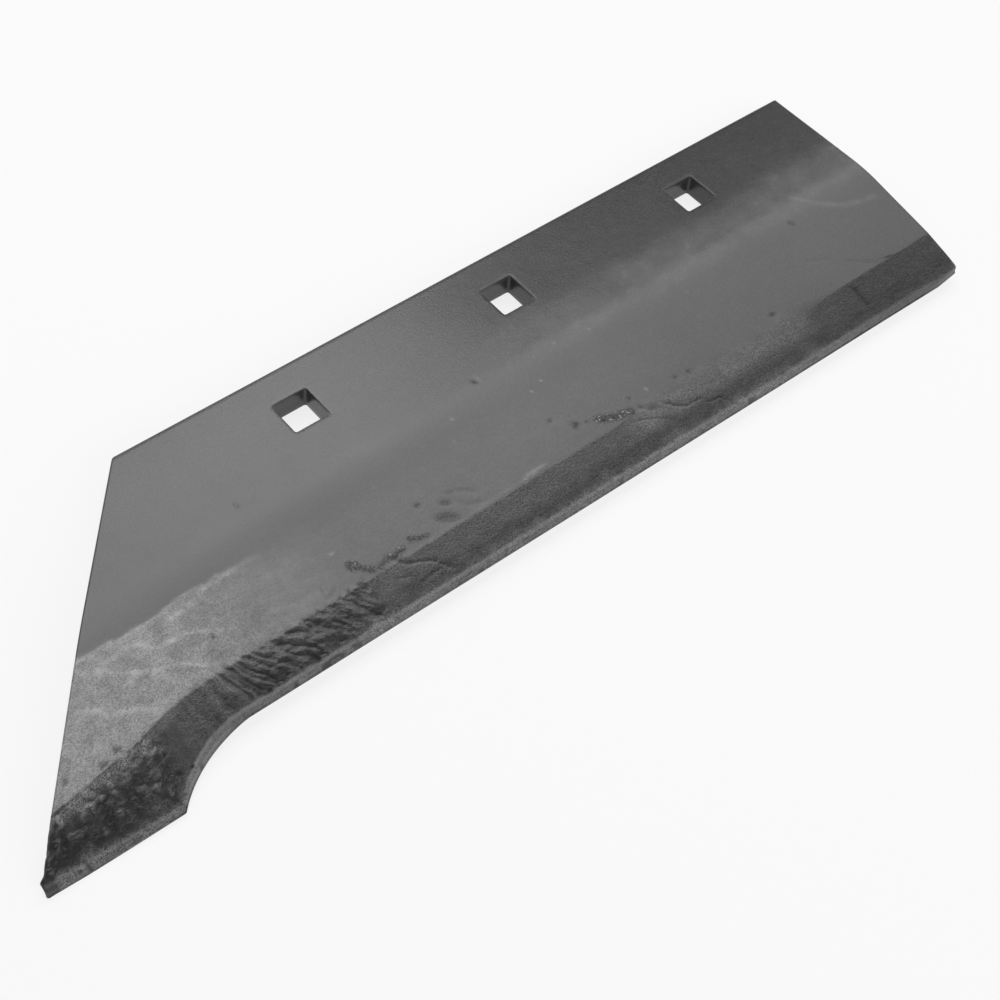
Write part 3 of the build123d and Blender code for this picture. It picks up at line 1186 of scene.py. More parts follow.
@dataclass(frozen=True)
class BlackPaint:
    """Thin satin black paint over forged steel, with scale, pale worn paint, dark marks, and painted shade
    and highlights.
    """

    body: Colour = (0.047, 0.047, 0.047)
    worn: Colour = (0.067, 0.067, 0.067)
    black_and_shade: Colour = (0.007, 0.007, 0.007)
    pale: Colour = (0.290, 0.290, 0.290)
    speck: Colour = (0.46, 0.46, 0.46)
    roughness: float = 0.25
    mottle_roughness: float = 0.12
    coarse_roughness: float = 0.07
    scale_roughness: float = 0.2
    grain_size: float = 0.9
    grain_depth: float = 0.045
    coarse_depth: float = 0.085
    scale_depth: float = 0.08
    pebble_size: float = 0.45
    mottle_size: float = 7.0
    cloud_size: float = 48.0
    fleck_size: float = 0.8
    crumb_size: float = 1.0
    cluster_size: float = 3.4
    fleck_range: Span = (0.48, 0.56)
    crumb_range: Span = (0.56, 0.61)
    cluster_range: Span = (0.54, 0.62)
    crust_range: Span = (0.25, 0.6)
    wear_range: Span = (0.38, 0.62)
    pepper_range: Span = (0.43, 0.55)
    speck_range: Span = (0.50, 0.95)
    wear_mottle: float = 0.45
    wear_cloud: float = 0.3
    wear_grain: float = 0.25
    pale_even: float = 0.35
    pale_mottle: float = 0.9
    pepper_pebble: float = 0.6
    pepper_grain: float = 0.4
    pepper_even: float = 0.20
    pepper_coarse: float = 0.42
    dark_even: float = 0.5
    dark_mottle: float = 0.7
    dark_grain: float = 0.9
    speck_pale: float = 0.4
    bump_grain: float = 0.6
    bump_pebble: float = 0.4
    most_dark: float = 0.94

    def build(self, name: str) -> bpy.types.Material:
        """Makes the material.

        Args:
            name: The material's name.

        Returns:
            The new material.
        """
        material = bpy.data.materials.new(name)
        material.use_nodes = True
        shader = Shader(material.node_tree)
        marks = self.marks(shader)
        noise = self.noise(shader)
        crust = self.scale_roughness * marks[Mark.SCALE] * noise.fleck
        roughness = self.roughness + self.mottle_roughness * (noise.mottle - 0.5)
        inputs = {
            "Base Color": self.colour(shader, marks, noise),
            "Roughness": roughness + self.coarse_roughness * marks[Mark.COARSE] + crust,
            "Normal": self.normal(shader, marks, noise),
        }
        principled = shader.wire("ShaderNodeBsdfPrincipled", None, inputs, "BSDF")
        shader.finish("ShaderNodeOutputMaterial", principled)
        return material

    @staticmethod
    def marks(shader: Shader) -> dict[Mark, Wire]:
        """Reads the surface's marks, the last of them from the attribute's alpha."""
        read = shader.node("ShaderNodeAttribute", {"attribute_name": "marks"})
        split = shader.node("ShaderNodeSeparateColor", None, {0: Wire(shader.tree, read.outputs["Color"])})
        outputs = [*split.outputs[: Mark.COARSE.value], read.outputs["Alpha"]]
        return {mark: Wire(shader.tree, outputs[mark.value]) for mark in Mark}

    def noise(self, shader: Shader) -> PaintNoise:
        """Lays the paint's noises in millimetres of the share's own frame."""
        place = shader.wire("ShaderNodeTexCoord", None, None, "Object")
        place = shader.wire("ShaderNodeVectorMath", {"operation": "SCALE"}, {0: place, "Scale": 1.0 / MM})
        return PaintNoise(
            place,
            grain=shader.noise(place, self.grain_size),
            pebble=shader.noise(place, self.pebble_size),
            mottle=shader.noise(place, self.mottle_size, detail=4.0, rough=0.62),
            fleck=shader.ramp(shader.noise(place, self.fleck_size), self.fleck_range),
        )

    def colour(self, shader: Shader, marks: dict[Mark, Wire], noise: PaintNoise) -> Wire:
        """Mixes the paint's colour.

        Args:
            shader: The material's node tree.
            marks: The surface's marks.
            noise: The paint's noises.

        Returns:
            The colour.
        """
        dark, scale, pale, coarse = (marks[mark] for mark in Mark)
        grain, mottle = noise.grain, noise.mottle
        clouds = shader.noise(noise.place, self.cloud_size, detail=3.0, rough=0.5)
        wear = mottle * self.wear_mottle + clouds * self.wear_cloud + grain * self.wear_grain
        colour = shader.mix(shader.ramp(wear, self.wear_range), self.body, self.worn)
        # pale worn paint together with painted highlights and sheen
        pale_and_highlight = pale * (self.pale_even + self.pale_mottle * mottle)
        colour = shader.mix(pale_and_highlight.least(1.0), colour, self.pale)
        pepper = noise.pebble * self.pepper_pebble + grain * self.pepper_grain
        pepper = shader.ramp(pepper, self.pepper_range, (1.0, 0.0))
        pepper = pepper * (self.pepper_even + self.pepper_coarse * coarse)
        colour = shader.mix(pepper.least(1.0), colour, self.black_and_shade)
        # dark marks together with painted shade
        black_and_shade = dark * (self.dark_even + self.dark_mottle * mottle + self.dark_grain * (grain - 0.5))
        colour = shader.mix(black_and_shade.least(self.most_dark), colour, self.black_and_shade)
        colour = shader.mix((scale * noise.fleck).least(1.0), colour, self.black_and_shade)
        crumb = shader.ramp(shader.noise(noise.place, self.crumb_size), self.crumb_range)
        cluster = shader.ramp(shader.noise(noise.place, self.cluster_size, rough=0.5), self.cluster_range)
        crumbs = shader.ramp(scale, self.crust_range) * crumb * cluster
        specks = shader.ramp(pale * self.speck_pale, self.speck_range)
        return shader.mix(crumbs.most(specks), colour, self.speck)

    def normal(self, shader: Shader, marks: dict[Mark, Wire], noise: PaintNoise) -> Wire:
        """Bumps of the paint's grain, of its coarse places and of the scale."""
        rough = self.bump_grain * noise.grain + self.bump_pebble * noise.pebble
        height = self.grain_depth * noise.grain + self.coarse_depth * marks[Mark.COARSE] * rough
        height = height + self.scale_depth * marks[Mark.SCALE] * noise.fleck
        inputs = {"Strength": 1.0, "Distance": MM, "Height": height}
        return shader.wire("ShaderNodeBump", None, inputs, "Normal")


@dataclass(frozen=True)
class Bend:
    """One rounded corner of the section: where its arc starts and ends, and how it turns."""

    start: np.ndarray
    end: np.ndarray
    turn: np.ndarray
    before: np.ndarray
    inward: np.ndarray
    radius: np.ndarray


@dataclass
class PloughShare:
    """The share's dressed mesh: a closed skin swept along the section, with its square holes."""

    form: ShareForm
    surface: ForgedSurface
    paint: BlackPaint
    fan_end: float = -118.0
    fan_count: int = 272
    spacing: float = 1.05
    settling: int = 12
    end_radius: float = 0.7
    end_rings: int = 4
    hole_break: float = 0.35
    flat_rows: tuple[int, ...] = (9, 1, 12, 1, 12)
    arc_rows: tuple[int, ...] = (3, 16, 4, 9, 3, 2, 4, 3)
    run_rows: tuple[int, ...] = (34, 32, 2, 3, 3, 2)
    under_near: float = 2.0
    under_skip: int = 6
    sharp_angle: float = 50.0

    TOP_CORNERS = 4
    FACE_ROW = 10
    LEAN = 0.001

    @property
    def fold_run(self) -> float:
        """Length that the fold's curve takes from the flat zone."""
        return self.form.fold_radius * math.tan(math.radians(self.form.fold_angle / 2.0))

    @property
    def hole_reach(self) -> float:
        """Half the width of a hole where its broken edge meets the face."""
        return self.form.hole_side / 2.0 + self.hole_break

    @property
    def hole_inner(self) -> float:
        """Half the width of a hole between its rounded corners."""
        return self.form.hole_side / 2.0 - self.form.hole_corner

    def flat_lines(self) -> list[float]:
        """Lines of the grid in the flat zone, from the bolt edge down to the fold."""
        start = self.form.bolt_margin - self.form.edge_radius
        end = -self.form.fold_offset + self.fold_run
        reach, inner = self.hole_reach, self.hole_inner
        stops = (start, reach, inner, -inner, -reach, end)
        lines: list[float] = []
        for low, high, count in zip(stops, stops[1:], self.flat_rows):
            lines += spread(low, high, count)
        return lines + [end]

    def bolt_row_places(self) -> np.ndarray:
        """Places of the grid's columns after the fan, to the outer end's last ring."""
        form = self.form
        reach, inner = self.hole_reach, self.hole_inner
        stops = [self.fan_end]
        for hole in form.holes:
            stops += [hole - reach, hole - inner, hole + inner, hole + reach]
        stops.append(form.outer_end - self.end_radius)
        places: list[float] = []
        for low, high in zip(stops, stops[1:]):
            places += spread(low, high, max(1, round((high - low) / self.spacing)))
        rings = form.outer_end - self.end_radius * (1.0 - np.sin(self.end_turn))
        return np.array(places + list(rings))

    @property
    def end_turn(self) -> np.ndarray:
        """Angles of the rings that round an end, from the face to the end."""
        return np.linspace(0.0, np.pi / 2.0, self.end_rings + 1)

    @property
    def end_slant(self) -> float:
        """Share of a length along the row that lies square to the slanting end."""
        return math.sin(math.radians(self.form.landside_angle))

    def stretches(self) -> tuple[tuple, tuple]:
        """Cuts of the section's outline.

        Returns:
            For each corner of the section, the shares along its arc and along the straight run after it.
        """
        flat = self.flat_lines()
        run = flat[0] - flat[-1]
        top = tuple((flat[0] - line) / run for line in flat[:-1])
        near = self.form.hole_side / 2.0 + self.under_near
        kept = [n for n, line in enumerate(flat) if abs(line) < near or n % self.under_skip == 0]
        under = [flat[n] for n in sorted(set(kept + [0, len(flat) - 1]))][::-1]
        below = tuple((line - flat[-1]) / run for line in under[:-1])
        arcs = tuple(steps(count) for count in self.arc_rows)
        lower, bevel, edge, sole, under_lower, bolt_edge = (steps(count) for count in self.run_rows)
        return arcs, (top, lower, bevel, edge, sole, under_lower, below, bolt_edge)

    def corners(self, x: np.ndarray) -> tuple[tuple, ...]:
        """Places the section's corners before they are rounded.

        Args:
            x: Places along the bolt row.

        Returns:
            The y, z and radius of each corner, from the bolt edge over the top and back.
        """
        form = self.form
        lip = form.lip(x)
        whole = np.ones_like(x)
        lip_top = form.top_height(lip.ridge) - (lip.edge - lip.ridge) * np.tan(np.radians(lip.bevel))
        ridge_radius = form.ridge_radius + form.soft_ridge_radius * between(*form.soft_ridge, x)
        nose_radius = np.minimum(form.nose_radius, form.nose_share * lip.thickness)
        nose_radius = nose_radius * (1.0 - form.nose_end_cut * eased(*form.nose_end, x))
        under_fold = form.thickness * math.tan(math.radians(form.fold_angle / 2.0)) - form.fold_offset
        return (
            (form.bolt_margin * whole, form.thickness * whole, form.edge_radius),
            (-form.fold_offset * whole, form.thickness * whole, form.fold_radius),
            (-lip.ridge, form.top_height(lip.ridge), ridge_radius),
            (-lip.edge, lip_top, nose_radius),
            (-lip.edge, lip_top - lip.thickness, form.sole_radius),
            (-lip.ridge, form.under_height(lip.ridge), form.ridge_radius),
            (under_fold * whole, 0.0 * whole, form.fold_radius - form.thickness),
            (form.bolt_margin * whole, 0.0 * whole, form.edge_radius),
        )

    def bends(self, x: np.ndarray) -> list[Bend]:
        """Works out how the section's outline turns at each of its corners."""
        corners = self.corners(x)
        points = [np.stack([y, z]) for y, z, _ in corners]
        ways = [there - here for here, there in zip(points, points[1:] + points[:1])]
        ways = [way / np.hypot(*way) for way in ways]
        bends = []
        for n, (_, _, radius) in enumerate(corners):
            before, after = ways[n - 1], ways[n]
            turn = np.arccos(np.clip((before * after).sum(0), -1.0, 1.0))
            inward = (after - np.cos(turn) * before) / np.maximum(np.sin(turn), TINY)
            reach = radius * np.tan(turn / 2.0)
            start, end = points[n] - before * reach, points[n] + after * reach
            bends.append(Bend(start, end, turn, before, inward, np.broadcast_to(radius, x.shape)))
        return bends

    def section(self, x: np.ndarray) -> tuple[np.ndarray, np.ndarray]:
        """Places every point of the section's outline.

        Args:
            x: Places along the bolt row, with a row for each point of the outline.

        Returns:
            The y and z of each point.
        """
        bends = self.bends(x)
        placed = np.zeros((2, *x.shape))
        row = 0
        for n, (arc, run) in enumerate(zip(*self.stretches())):
            bend = bends[n]
            rows = slice(row, row + len(arc))
            angle = bend.turn[rows] * np.array(arc)[:, None]
            curve = np.sin(angle) * bend.before[:, rows] + (1.0 - np.cos(angle)) * bend.inward[:, rows]
            placed[:, rows] = bend.start[:, rows] + bend.radius[rows] * curve
            rows = slice(rows.stop, rows.stop + len(run))
            target = bends[(n + 1) % len(bends)].start
            placed[:, rows] = bend.end[:, rows] + (target - bend.end)[:, rows] * np.array(run)[:, None]
            row = rows.stop
        return placed[0], placed[1]

    def skin(self) -> np.ndarray:
        """Places the skin's points before its relief.

        Returns:
            The points, with a row for each point of the outline and a column for each place.
        """
        arcs, runs = self.stretches()
        count = sum(len(arc) + len(run) for arc, run in zip(arcs, runs))
        straight = self.bolt_row_places()
        share = np.linspace(0.0, 1.0, self.fan_count, endpoint=False)
        rings = self.end_radius * (1.0 - np.cos(self.end_turn[:-1])) / self.end_slant
        left = np.linspace(self.form.point, self.fan_end, self.fan_count + len(rings))
        x = np.tile(np.concatenate([left, straight]), (count, 1))
        for _ in range(self.settling):
            y, z = self.section(x)
            start = self.form.landside(y[:, : len(left)])
            inner = start[:, len(rings) :] + self.end_radius / self.end_slant
            x[:, : len(rings)] = start[:, : len(rings)] + rings
            x[:, len(rings) : len(left)] = inner + (self.fan_end - inner) * share
        y, z = self.section(x)
        return np.stack([x, y, z], axis=-1)

    def round_ends(self, points: np.ndarray) -> np.ndarray:
        """Draws the outline in at both ends, so that their edges are round."""
        across = np.roll(points, -1, axis=0) - np.roll(points, 1, axis=0)
        inward = np.stack([np.zeros(across.shape[:2]), across[..., 2], -across[..., 1]], axis=-1)
        inward /= np.maximum(np.linalg.norm(inward, axis=-1, keepdims=True), TINY)
        middle = points.mean(axis=0, keepdims=True)
        flip = np.sign(((middle - points) * inward).sum(-1).sum())
        inset = np.zeros(points.shape[1])
        inset[: self.end_rings] = self.end_radius * (1.0 - np.sin(self.end_turn[:-1]))
        inset[-self.end_rings - 1 :] = self.end_radius * (1.0 - np.cos(self.end_turn))
        return points + flip * inward * inset[None, :, None]

    def normals(self, points: np.ndarray) -> np.ndarray:
        """Outward directions at the skin's points."""
        across = np.roll(points, -1, axis=0) - np.roll(points, 1, axis=0)
        along = np.gradient(points, axis=1)
        normal = np.cross(across, along)
        normal /= np.maximum(np.linalg.norm(normal, axis=-1, keepdims=True), TINY)
        return normal * np.sign(normal[self.FACE_ROW, points.shape[1] // 2, 2])

    def upper_rows(self) -> np.ndarray:
        """1 for the outline's rows from the bolt edge to the sole, and 0 on the underside."""
        arcs, runs = self.stretches()
        counts = [len(arc) + len(run) for arc, run in zip(arcs, runs)]
        rows = np.zeros(sum(counts))
        rows[: sum(counts[: self.TOP_CORNERS])] = 1.0
        rows[0] = 0.5
        return rows

    def cap(self, ring: np.ndarray, reverse: bool) -> list[tuple[int, ...]]:
        """Closes an end with triangles between its upper and lower edges.

        Args:
            ring: The end's points in order, from the bolt edge over the top and back.
            reverse: Whether to turn the triangles round.

        Returns:
            The triangles, as numbers of the ring's points.
        """
        count = len(ring)
        front = int(np.argmin(ring[:, 1] + self.LEAN * ring[:, 2]))
        back = count - 2
        upper = [(back + n) % count for n in range((front - back) % count + 1)]
        lower = [(back - n) % count for n in range((back - front) % count + 1)]
        faces = []
        i = j = 0
        while i < len(upper) - 1 or j < len(lower) - 1:
            if i == len(upper) - 1:
                over = False
            else:
                over = j == len(lower) - 1 or ring[upper[i + 1], 1] >= ring[lower[j + 1], 1]
            if over:
                face = (upper[i], upper[i + 1], lower[j])
                i += 1
            else:
                face = (upper[i], lower[j + 1], lower[j])
                j += 1
            if len(set(face)) == 3:
                faces.append(face[::-1] if reverse else face)
        return faces

    def end_faces(self, points: np.ndarray, index: np.ndarray) -> list[tuple[int, ...]]:
        """Closes both ends of the skin."""
        faces = []
        for column, reverse in ((0, False), (points.shape[1] - 1, True)):
            local = self.cap(points[:, column], reverse)
            faces += [tuple(int(index[n, column]) for n in face) for face in local]
        return faces

    @staticmethod
    def skin_faces(index: np.ndarray, kept: np.ndarray) -> list[tuple[int, ...]]:
        """Joins the skin's points into quads, apart from those that the holes take out."""
        here, along = index[:, :-1], index[:, 1:]
        quads = [here, np.roll(here, -1, axis=0), np.roll(along, -1, axis=0), along]
        return [tuple(quad) for quad in np.stack(quads, axis=-1)[kept].tolist()]

    def build(self) -> bpy.types.Object:
        """Makes the mesh and dresses it.

        Returns:
            The new object.
        """
        smooth = self.skin()
        upper = np.tile(self.upper_rows()[:, None], (1, smooth.shape[1]))
        relief, marks = self.surface.apply(smooth[..., 0], smooth[..., 1], upper)
        points = self.round_ends(smooth + self.normals(smooth) * relief[..., None])
        index = np.arange(points[..., 0].size).reshape(points.shape[:2])
        holes = HolePattern(self, smooth, points, index)
        faces = self.skin_faces(index, holes.kept)
        faces += holes.wall_faces()
        faces += self.end_faces(holes.points, index)
        low, high = (np.array(corner) / MM for corner in CAD_BOX)
        vertices = np.concatenate([holes.points.reshape(-1, 3), holes.wall_points()])
        vertices = np.clip(vertices, low, high)
        mesh = bpy.data.meshes.new("plough_share_skin")
        mesh.from_pydata((vertices * MM).tolist(), [], faces)
        self.store_marks(mesh, np.concatenate([marks.reshape(-1, len(Mark)), holes.wall_marks()]))
        mesh.validate()
        self.turn_outward(mesh)
        mesh.polygons.foreach_set("use_smooth", [True] * len(mesh.polygons))
        mesh.set_sharp_from_angle(angle=math.radians(self.sharp_angle))
        mesh.materials.append(self.paint.build("black_paint"))
        share = bpy.data.objects.new("plough_share_skin", mesh)
        bpy.context.scene.collection.objects.link(share)
        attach(share, "root")
        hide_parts(NODE)
        return share

    @staticmethod
    def store_marks(mesh: bpy.types.Mesh, marks: np.ndarray) -> None:
        """Keeps the marks as a colour for each point."""
        layer = mesh.attributes.new("marks", "FLOAT_COLOR", "POINT")
        layer.data.foreach_set("color", marks.astype(np.float32).ravel())

    @staticmethod
    def turn_outward(mesh: bpy.types.Mesh) -> None:
        """Turns every face outward."""
        shape = bmesh.new()
        shape.from_mesh(mesh)
        bmesh.ops.recalc_face_normals(shape, faces=shape.faces)
        shape.to_mesh(mesh)
        shape.free()


class HolePattern:
    """The square bolt holes in the skin: the cells that they take out, and their walls."""

    WALL_RINGS = 4
    BREAK_RINGS = 3

    def __init__(
        self, share: PloughShare, smooth: np.ndarray, points: np.ndarray, index: np.ndarray
    ) -> None:
        """Finds each hole's cells and rounds its corners.

        Args:
            share: The share that the holes belong to.
            smooth: The skin's points before its relief.
            points: The skin's points.
            index: The number of each of the skin's points.
        """
        self.share = share
        self.index = index
        self.points = points.copy()
        self.rings: list[tuple[list, list, float]] = []
        x, y = smooth[0, :, 0], smooth[:, smooth.shape[1] // 2, 1]
        z = smooth[:, smooth.shape[1] // 2, 2]
        reach = share.hole_reach + CLOSE
        middle = share.form.thickness / 2.0
        top = [row for row in range(len(y)) if abs(y[row]) < reach and z[row] > middle]
        under = [row for row in range(len(y)) if abs(y[row]) < reach and z[row] < middle][::-1]
        self.kept = np.ones((index.shape[0], index.shape[1] - 1), bool)
        for hole in share.form.holes:
            columns = [c for c in range(index.shape[1]) if abs(x[c] - hole) < reach]
            for rows in (top, under):
                first, last = min(rows), max(rows)
                self.kept[first:last, columns[0] : columns[-1]] = False
                for row in (rows[0], rows[-1]):
                    for column in (columns[0], columns[-1]):
                        place = self.points[row, column]
                        place[0], place[1] = self.rounded(place[0] - hole, place[1], share.hole_break, hole)
            self.rings.append((self.ring(top, columns), self.ring(under, columns), hole))

    @staticmethod
    def ring(rows: list[int], columns: list[int]) -> list[tuple[int, int]]:
        """Goes once round a hole, as (row, column)."""
        there = [(rows[0], c) for c in columns[:-1]] + [(r, columns[-1]) for r in rows[:-1]]
        back = [(rows[-1], c) for c in columns[:0:-1]] + [(r, columns[0]) for r in rows[:0:-1]]
        return there + back

    def rounded(self, dx: float, dy: float, out: float, hole: float) -> tuple[float, float]:
        """Places a point of a hole's square ring on the ring with round corners.

        Args:
            dx: Place along the bolt row from the hole's centre.
            dy: Place across it.
            out: How far the ring lies outside the hole's wall.
            hole: The hole's centre.

        Returns:
            The point's place.
        """
        inner = self.share.hole_inner
        half = self.share.form.hole_side / 2.0 + out
        at_x, at_y = abs(dx) > inner + CLOSE, abs(dy) > inner + CLOSE
        if at_x and at_y:
            corner = inner + (self.share.form.hole_corner + out) * math.sqrt(0.5)
            return hole + math.copysign(corner, dx), math.copysign(corner, dy)
        if at_x:
            return hole + math.copysign(half, dx), dy
        return hole + dx, math.copysign(half, dy)

    def levels(self) -> list[tuple[float, float]]:
        """Rings of a hole's wall, as how far they lie outside it and their depth as a share."""
        edge = self.share.hole_break
        thickness = self.share.form.thickness
        turns = [math.pi / 2.0 * n / self.BREAK_RINGS for n in range(1, self.BREAK_RINGS + 1)]
        upper = [(edge * (1.0 - math.sin(t)), edge * (1.0 - math.cos(t)) / thickness) for t in turns]
        middle = [(0.0, n / self.WALL_RINGS) for n in range(1, self.WALL_RINGS)]
        lower = [(out, 1.0 - depth) for out, depth in reversed(upper)]
        return upper + middle + lower

    def wall_points(self) -> np.ndarray:
        """The points of every hole's wall."""
        made = []
        for top, under, hole in self.rings:
            for out, depth in self.levels():
                for (row, column), (low_row, low_column) in zip(top, under):
                    high, low = self.points[row, column], self.points[low_row, low_column]
                    x, y = self.rounded(high[0] - hole, high[1], out, hole)
                    made.append((x, y, high[2] + (low[2] - high[2]) * depth))
        return np.array(made)

    def wall_marks(self) -> np.ndarray:
        """The marks of every hole's wall: none."""
        return np.zeros((len(self.wall_points()), len(Mark)))

    def wall_faces(self) -> list[tuple[int, int, int, int]]:
        """Joins the rings of every hole's wall to each other and to the skin."""
        faces = []
        first = self.index.size
        for top, under, _ in self.rings:
            count = len(top)
            rings = [[int(self.index[cell]) for cell in top]]
            for _ in self.levels():
                rings.append(list(range(first, first + count)))
                first += count
            rings.append([int(self.index[cell]) for cell in under])
            for high, low in zip(rings, rings[1:]):
                for n in range(count):
                    after = (n + 1) % count
                    faces.append((high[n], low[n], low[after], high[after]))
        return faces


@dataclass(frozen=True)
class Softbox:
    """One soft lamp: where it hangs, what it points at, its size and its power."""

    name: str
    place: tuple[float, float, float]
    aim: tuple[float, float, float]
    size: tuple[float, float]
    power: float

    def build(self) -> bpy.types.Object:
        """Hangs the lamp."""
        lamp = bpy.data.lights.new(self.name, "AREA")
        lamp.shape = "RECTANGLE"
        lamp.size, lamp.size_y = (side * MM for side in self.size)
        lamp.energy = self.power
        holder = bpy.data.objects.new(self.name, lamp)
        bpy.context.scene.collection.objects.link(holder)
        holder.location = Vector(self.place) * MM
        holder.rotation_euler = (Vector(self.aim) - Vector(self.place)).to_track_quat("-Z", "Y").to_euler()
        return holder


@dataclass
class Studio:
    """Floor, lamps, dark cards, white surroundings and camera."""

    WHITE = (1.0, 1.0, 1.0, 1.0)
    DARK = (0.01, 0.01, 0.01, 1.0)
    LEAST_FACE = 1e-12
    DOWNWARD = -0.9

    floor_size: float = 12000.0
    floor_gap: float = 0.05
    floor_colour: Colour = (0.86, 0.86, 0.86)
    floor_white: float = 0.82
    white_start: float = 0.25
    white_reach: float = 2800.0
    ambient: float = 0.35
    camera_place: tuple[float, float, float] = (-338.4, -346.6, 507.5)
    camera_aim: tuple[float, float, float] = (-67.6, -76.6, 10.0)
    camera_roll: float = 6.64
    lens: float = 62.9
    sensor: float = 36.0
    clip: Span = (0.01, 50.0)
    lamps: tuple[Softbox, ...] = (
        Softbox("softbox_over_beak", (-130.0, 290.0, 1250.0), (-130.0, 290.0, 0.0), (650.0, 600.0), 3.5),
        Softbox("softbox_behind_beak", (-130.0, 800.0, 1250.0), (-130.0, 800.0, 0.0), (650.0, 420.0), 2.6),
        Softbox("softbox_over_blade", (475.0, 240.0, 1250.0), (475.0, 240.0, 0.0), (560.0, 500.0), 2.1),
        Softbox("softbox_behind_blade", (475.0, 800.0, 1250.0), (475.0, 800.0, 0.0), (560.0, 620.0), 3.9),
        Softbox("softbox_over_end", (1130.0, 340.0, 1250.0), (1130.0, 340.0, 0.0), (750.0, 700.0), 2.5),
        Softbox("softbox_in_front", (150.0, -1050.0, 520.0), (-50.0, -90.0, 0.0), (1300.0, 800.0), 5.0),
    )
    cards: tuple[tuple[float, float, float, float], ...] = (
        (200.0, -650.0, 2800.0, 1150.0),
        (1500.0, 1250.0, 1400.0, 1000.0),
    )
    card_height: float = 1250.0

    def build(self) -> None:
        """Sets up everything around the share."""
        self.surroundings()
        self.floor()
        self.dark_cards()
        for lamp in self.lamps:
            lamp.build()
        self.camera()
        bpy.context.scene.view_settings.view_transform = "Standard"

    @staticmethod
    def seen(shader: Shader) -> Wire:
        """1 for what the camera sees, straight or by reflection, and 0 for the light itself."""
        path = shader.node("ShaderNodeLightPath")
        names = ("Is Camera Ray", "Is Glossy Ray", "Is Transmission Ray")
        camera, glossy, through = (Wire(shader.tree, path.outputs[name]) for name in names)
        return (camera + glossy + through).least(1.0)

    def surroundings(self) -> None:
        """White surroundings that light the share a little."""
        world = bpy.data.worlds.new("surroundings")
        world.use_nodes = True
        bpy.context.scene.world = world
        shader = Shader(world.node_tree)
        dim = shader.wire("ShaderNodeBackground", None, {"Color": self.WHITE, "Strength": self.ambient})
        white = shader.wire("ShaderNodeBackground", None, {"Color": self.WHITE, "Strength": 1.0})
        both = shader.wire("ShaderNodeMixShader", None, {0: self.seen(shader), 1: dim, 2: white})
        shader.finish("ShaderNodeOutputWorld", both)

    @staticmethod
    def plane(name: str, matrix: Matrix, size: Span, material: bpy.types.Material) -> bpy.types.Object:
        """Makes a flat rectangle that isn't part of the share.

        Args:
            name: The object's name.
            matrix: Its place, in metres.
            size: Its width and length.
            material: Its material.

        Returns:
            The new object.
        """
        across, along = size[0] / 2.0 * MM, size[1] / 2.0 * MM
        corners = [(-across, -along, 0.0), (across, -along, 0.0), (across, along, 0.0), (-across, along, 0.0)]
        mesh = bpy.data.meshes.new(name)
        mesh.from_pydata([matrix @ Vector(corner) for corner in corners], [], [(0, 1, 2, 3)])
        mesh.materials.append(material)
        made = bpy.data.objects.new(name, mesh)
        bpy.context.scene.collection.objects.link(made)
        return made

    def floor(self) -> None:
        """Lays the white floor under the share as it rests on its point, blade and bolt edge."""
        material = bpy.data.materials.new("white_floor")
        material.use_nodes = True
        shader = Shader(material.node_tree)
        matt = shader.wire("ShaderNodeBsdfDiffuse", None, {"Color": (*self.floor_colour, 1.0)})
        white = shader.wire("ShaderNodeEmission", None, {"Color": self.WHITE, "Strength": 1.0})
        place = shader.wire("ShaderNodeTexCoord", None, None, "Object")
        away = shader.wire("ShaderNodeVectorMath", {"operation": "LENGTH"}, {0: place}, "Value")
        away = away / (self.white_reach * MM)
        far = shader.ramp(away, (self.white_start, 1.0), (self.floor_white, 1.0))
        both = shader.wire("ShaderNodeMixShader", None, {0: self.seen(shader) * far, 1: matt, 2: white})
        shader.finish("ShaderNodeOutputMaterial", both)
        contact, up = self.resting_plane()
        turn = up.to_track_quat("Z", "Y").to_matrix().to_4x4()
        place = Matrix.Translation(contact - up * self.floor_gap * MM) @ turn
        self.plane("floor", place, (self.floor_size, self.floor_size), material)

    def dark_cards(self) -> None:
        """Hangs dark cards, which the bevel, the beak and the outer end's bolt zone reflect."""
        material = bpy.data.materials.new("dark_card")
        material.use_nodes = True
        shader = Shader(material.node_tree)
        matt = shader.wire("ShaderNodeBsdfDiffuse", None, {"Color": self.DARK})
        shader.finish("ShaderNodeOutputMaterial", matt)
        for n, (x, y, width, length) in enumerate(self.cards):
            place = Matrix.Translation(Vector((x, y, self.card_height)) * MM)
            made = self.plane(f"dark_card_{n}", place, (width, length), material)
            made.visible_camera = False

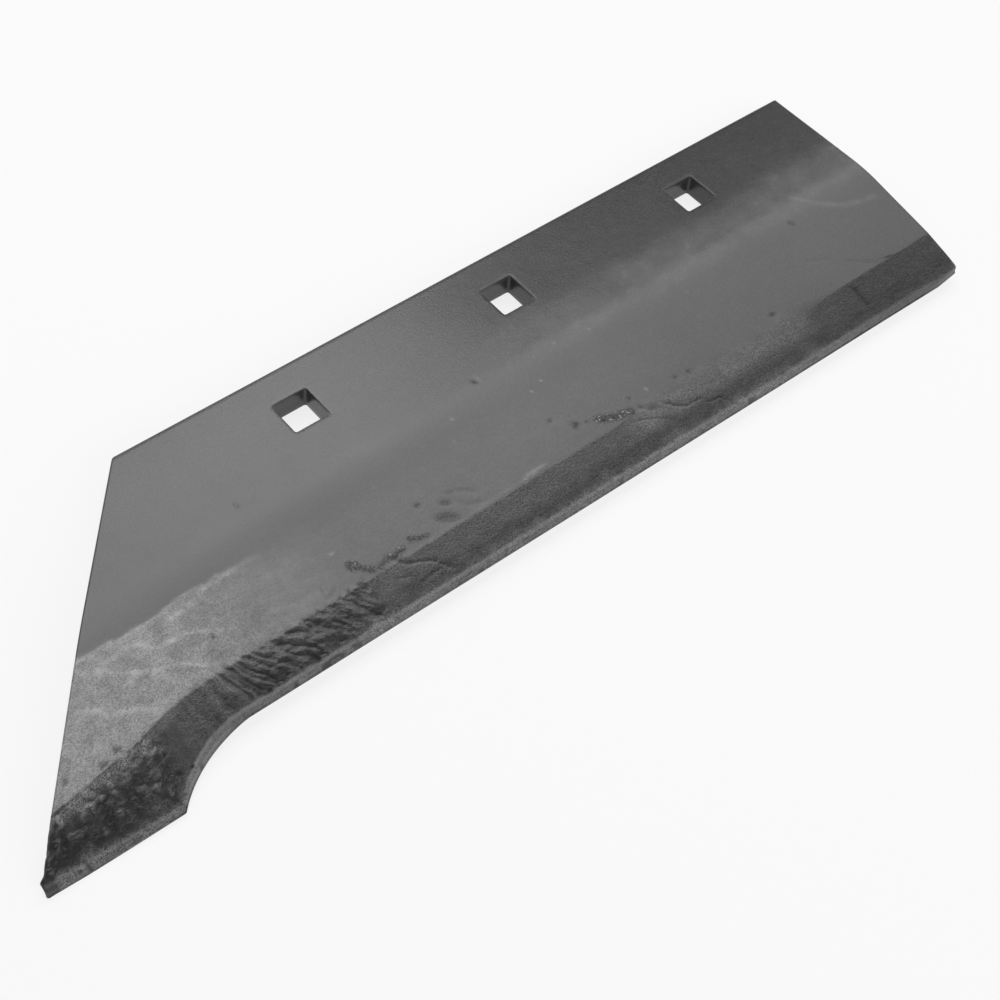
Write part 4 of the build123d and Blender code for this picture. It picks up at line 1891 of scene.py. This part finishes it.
    @staticmethod
    def centre_of_mass(mesh: bpy.types.Mesh) -> Vector:
        """Finds a closed mesh's centre of mass."""
        shape = bmesh.new()
        shape.from_mesh(mesh)
        bmesh.ops.triangulate(shape, faces=shape.faces)
        weight, centre = 0.0, Vector()
        for face in shape.faces:
            a, b, c = (v.co for v in face.verts)
            volume = a.dot(b.cross(c))
            weight += volume
            centre += volume * (a + b + c) / 4.0
        shape.free()
        return centre / weight

    def resting_plane(self) -> tuple[Vector, Vector]:
        """Finds the plane that the solid rests on.

        Returns:
            A point of the plane and its direction up, in metres.
        """
        mesh = frame["nodes"][NODE].data
        centre = self.centre_of_mass(mesh)
        hull = bmesh.new()
        for vertex in mesh.vertices:
            hull.verts.new(vertex.co)
        bmesh.ops.convex_hull(hull, input=hull.verts)
        best = None
        for face in hull.faces:
            if len(face.verts) < 3 or face.calc_area() < self.LEAST_FACE:
                continue
            a, b, c = (v.co for v in face.verts[:3])
            normal = (b - a).cross(c - a).normalized()
            reach = normal.dot(a - centre)
            if reach < 0.0:
                normal, reach = -normal, -reach
            if normal.z < self.DOWNWARD and (best is None or reach < best[0]):
                best = (reach, a.copy(), -normal)
        hull.free()
        log.info("rests %.1f degrees from level", math.degrees(best[2].angle(Vector((0, 0, 1)))))
        return best[1], best[2]

    def camera(self) -> None:
        """Sets the camera at the photograph's angle."""
        lens = bpy.data.cameras.new("camera")
        lens.lens = self.lens
        lens.sensor_width = self.sensor
        holder = bpy.data.objects.new("camera", lens)
        bpy.context.scene.collection.objects.link(holder)
        place, aim = Vector(self.camera_place) * MM, Vector(self.camera_aim) * MM
        look = (aim - place).to_track_quat("-Z", "Y").to_matrix().to_4x4()
        roll = Matrix.Rotation(math.radians(self.camera_roll), 4, "Z")
        holder.matrix_world = Matrix.Translation(place) @ look @ roll
        lens.clip_start, lens.clip_end = self.clip
        bpy.context.scene.camera = holder


def main() -> None:
    """Builds the share and its studio."""
    logging.basicConfig(level=logging.INFO, format="%(name)s: %(message)s")
    form = ShareForm.from_frame()
    share = PloughShare(form, ForgedSurface(form), BlackPaint()).build()
    log.info("%s: %d faces", share.name, len(share.data.polygons))
    Studio().build()


if __name__ == "__main__":
    main()
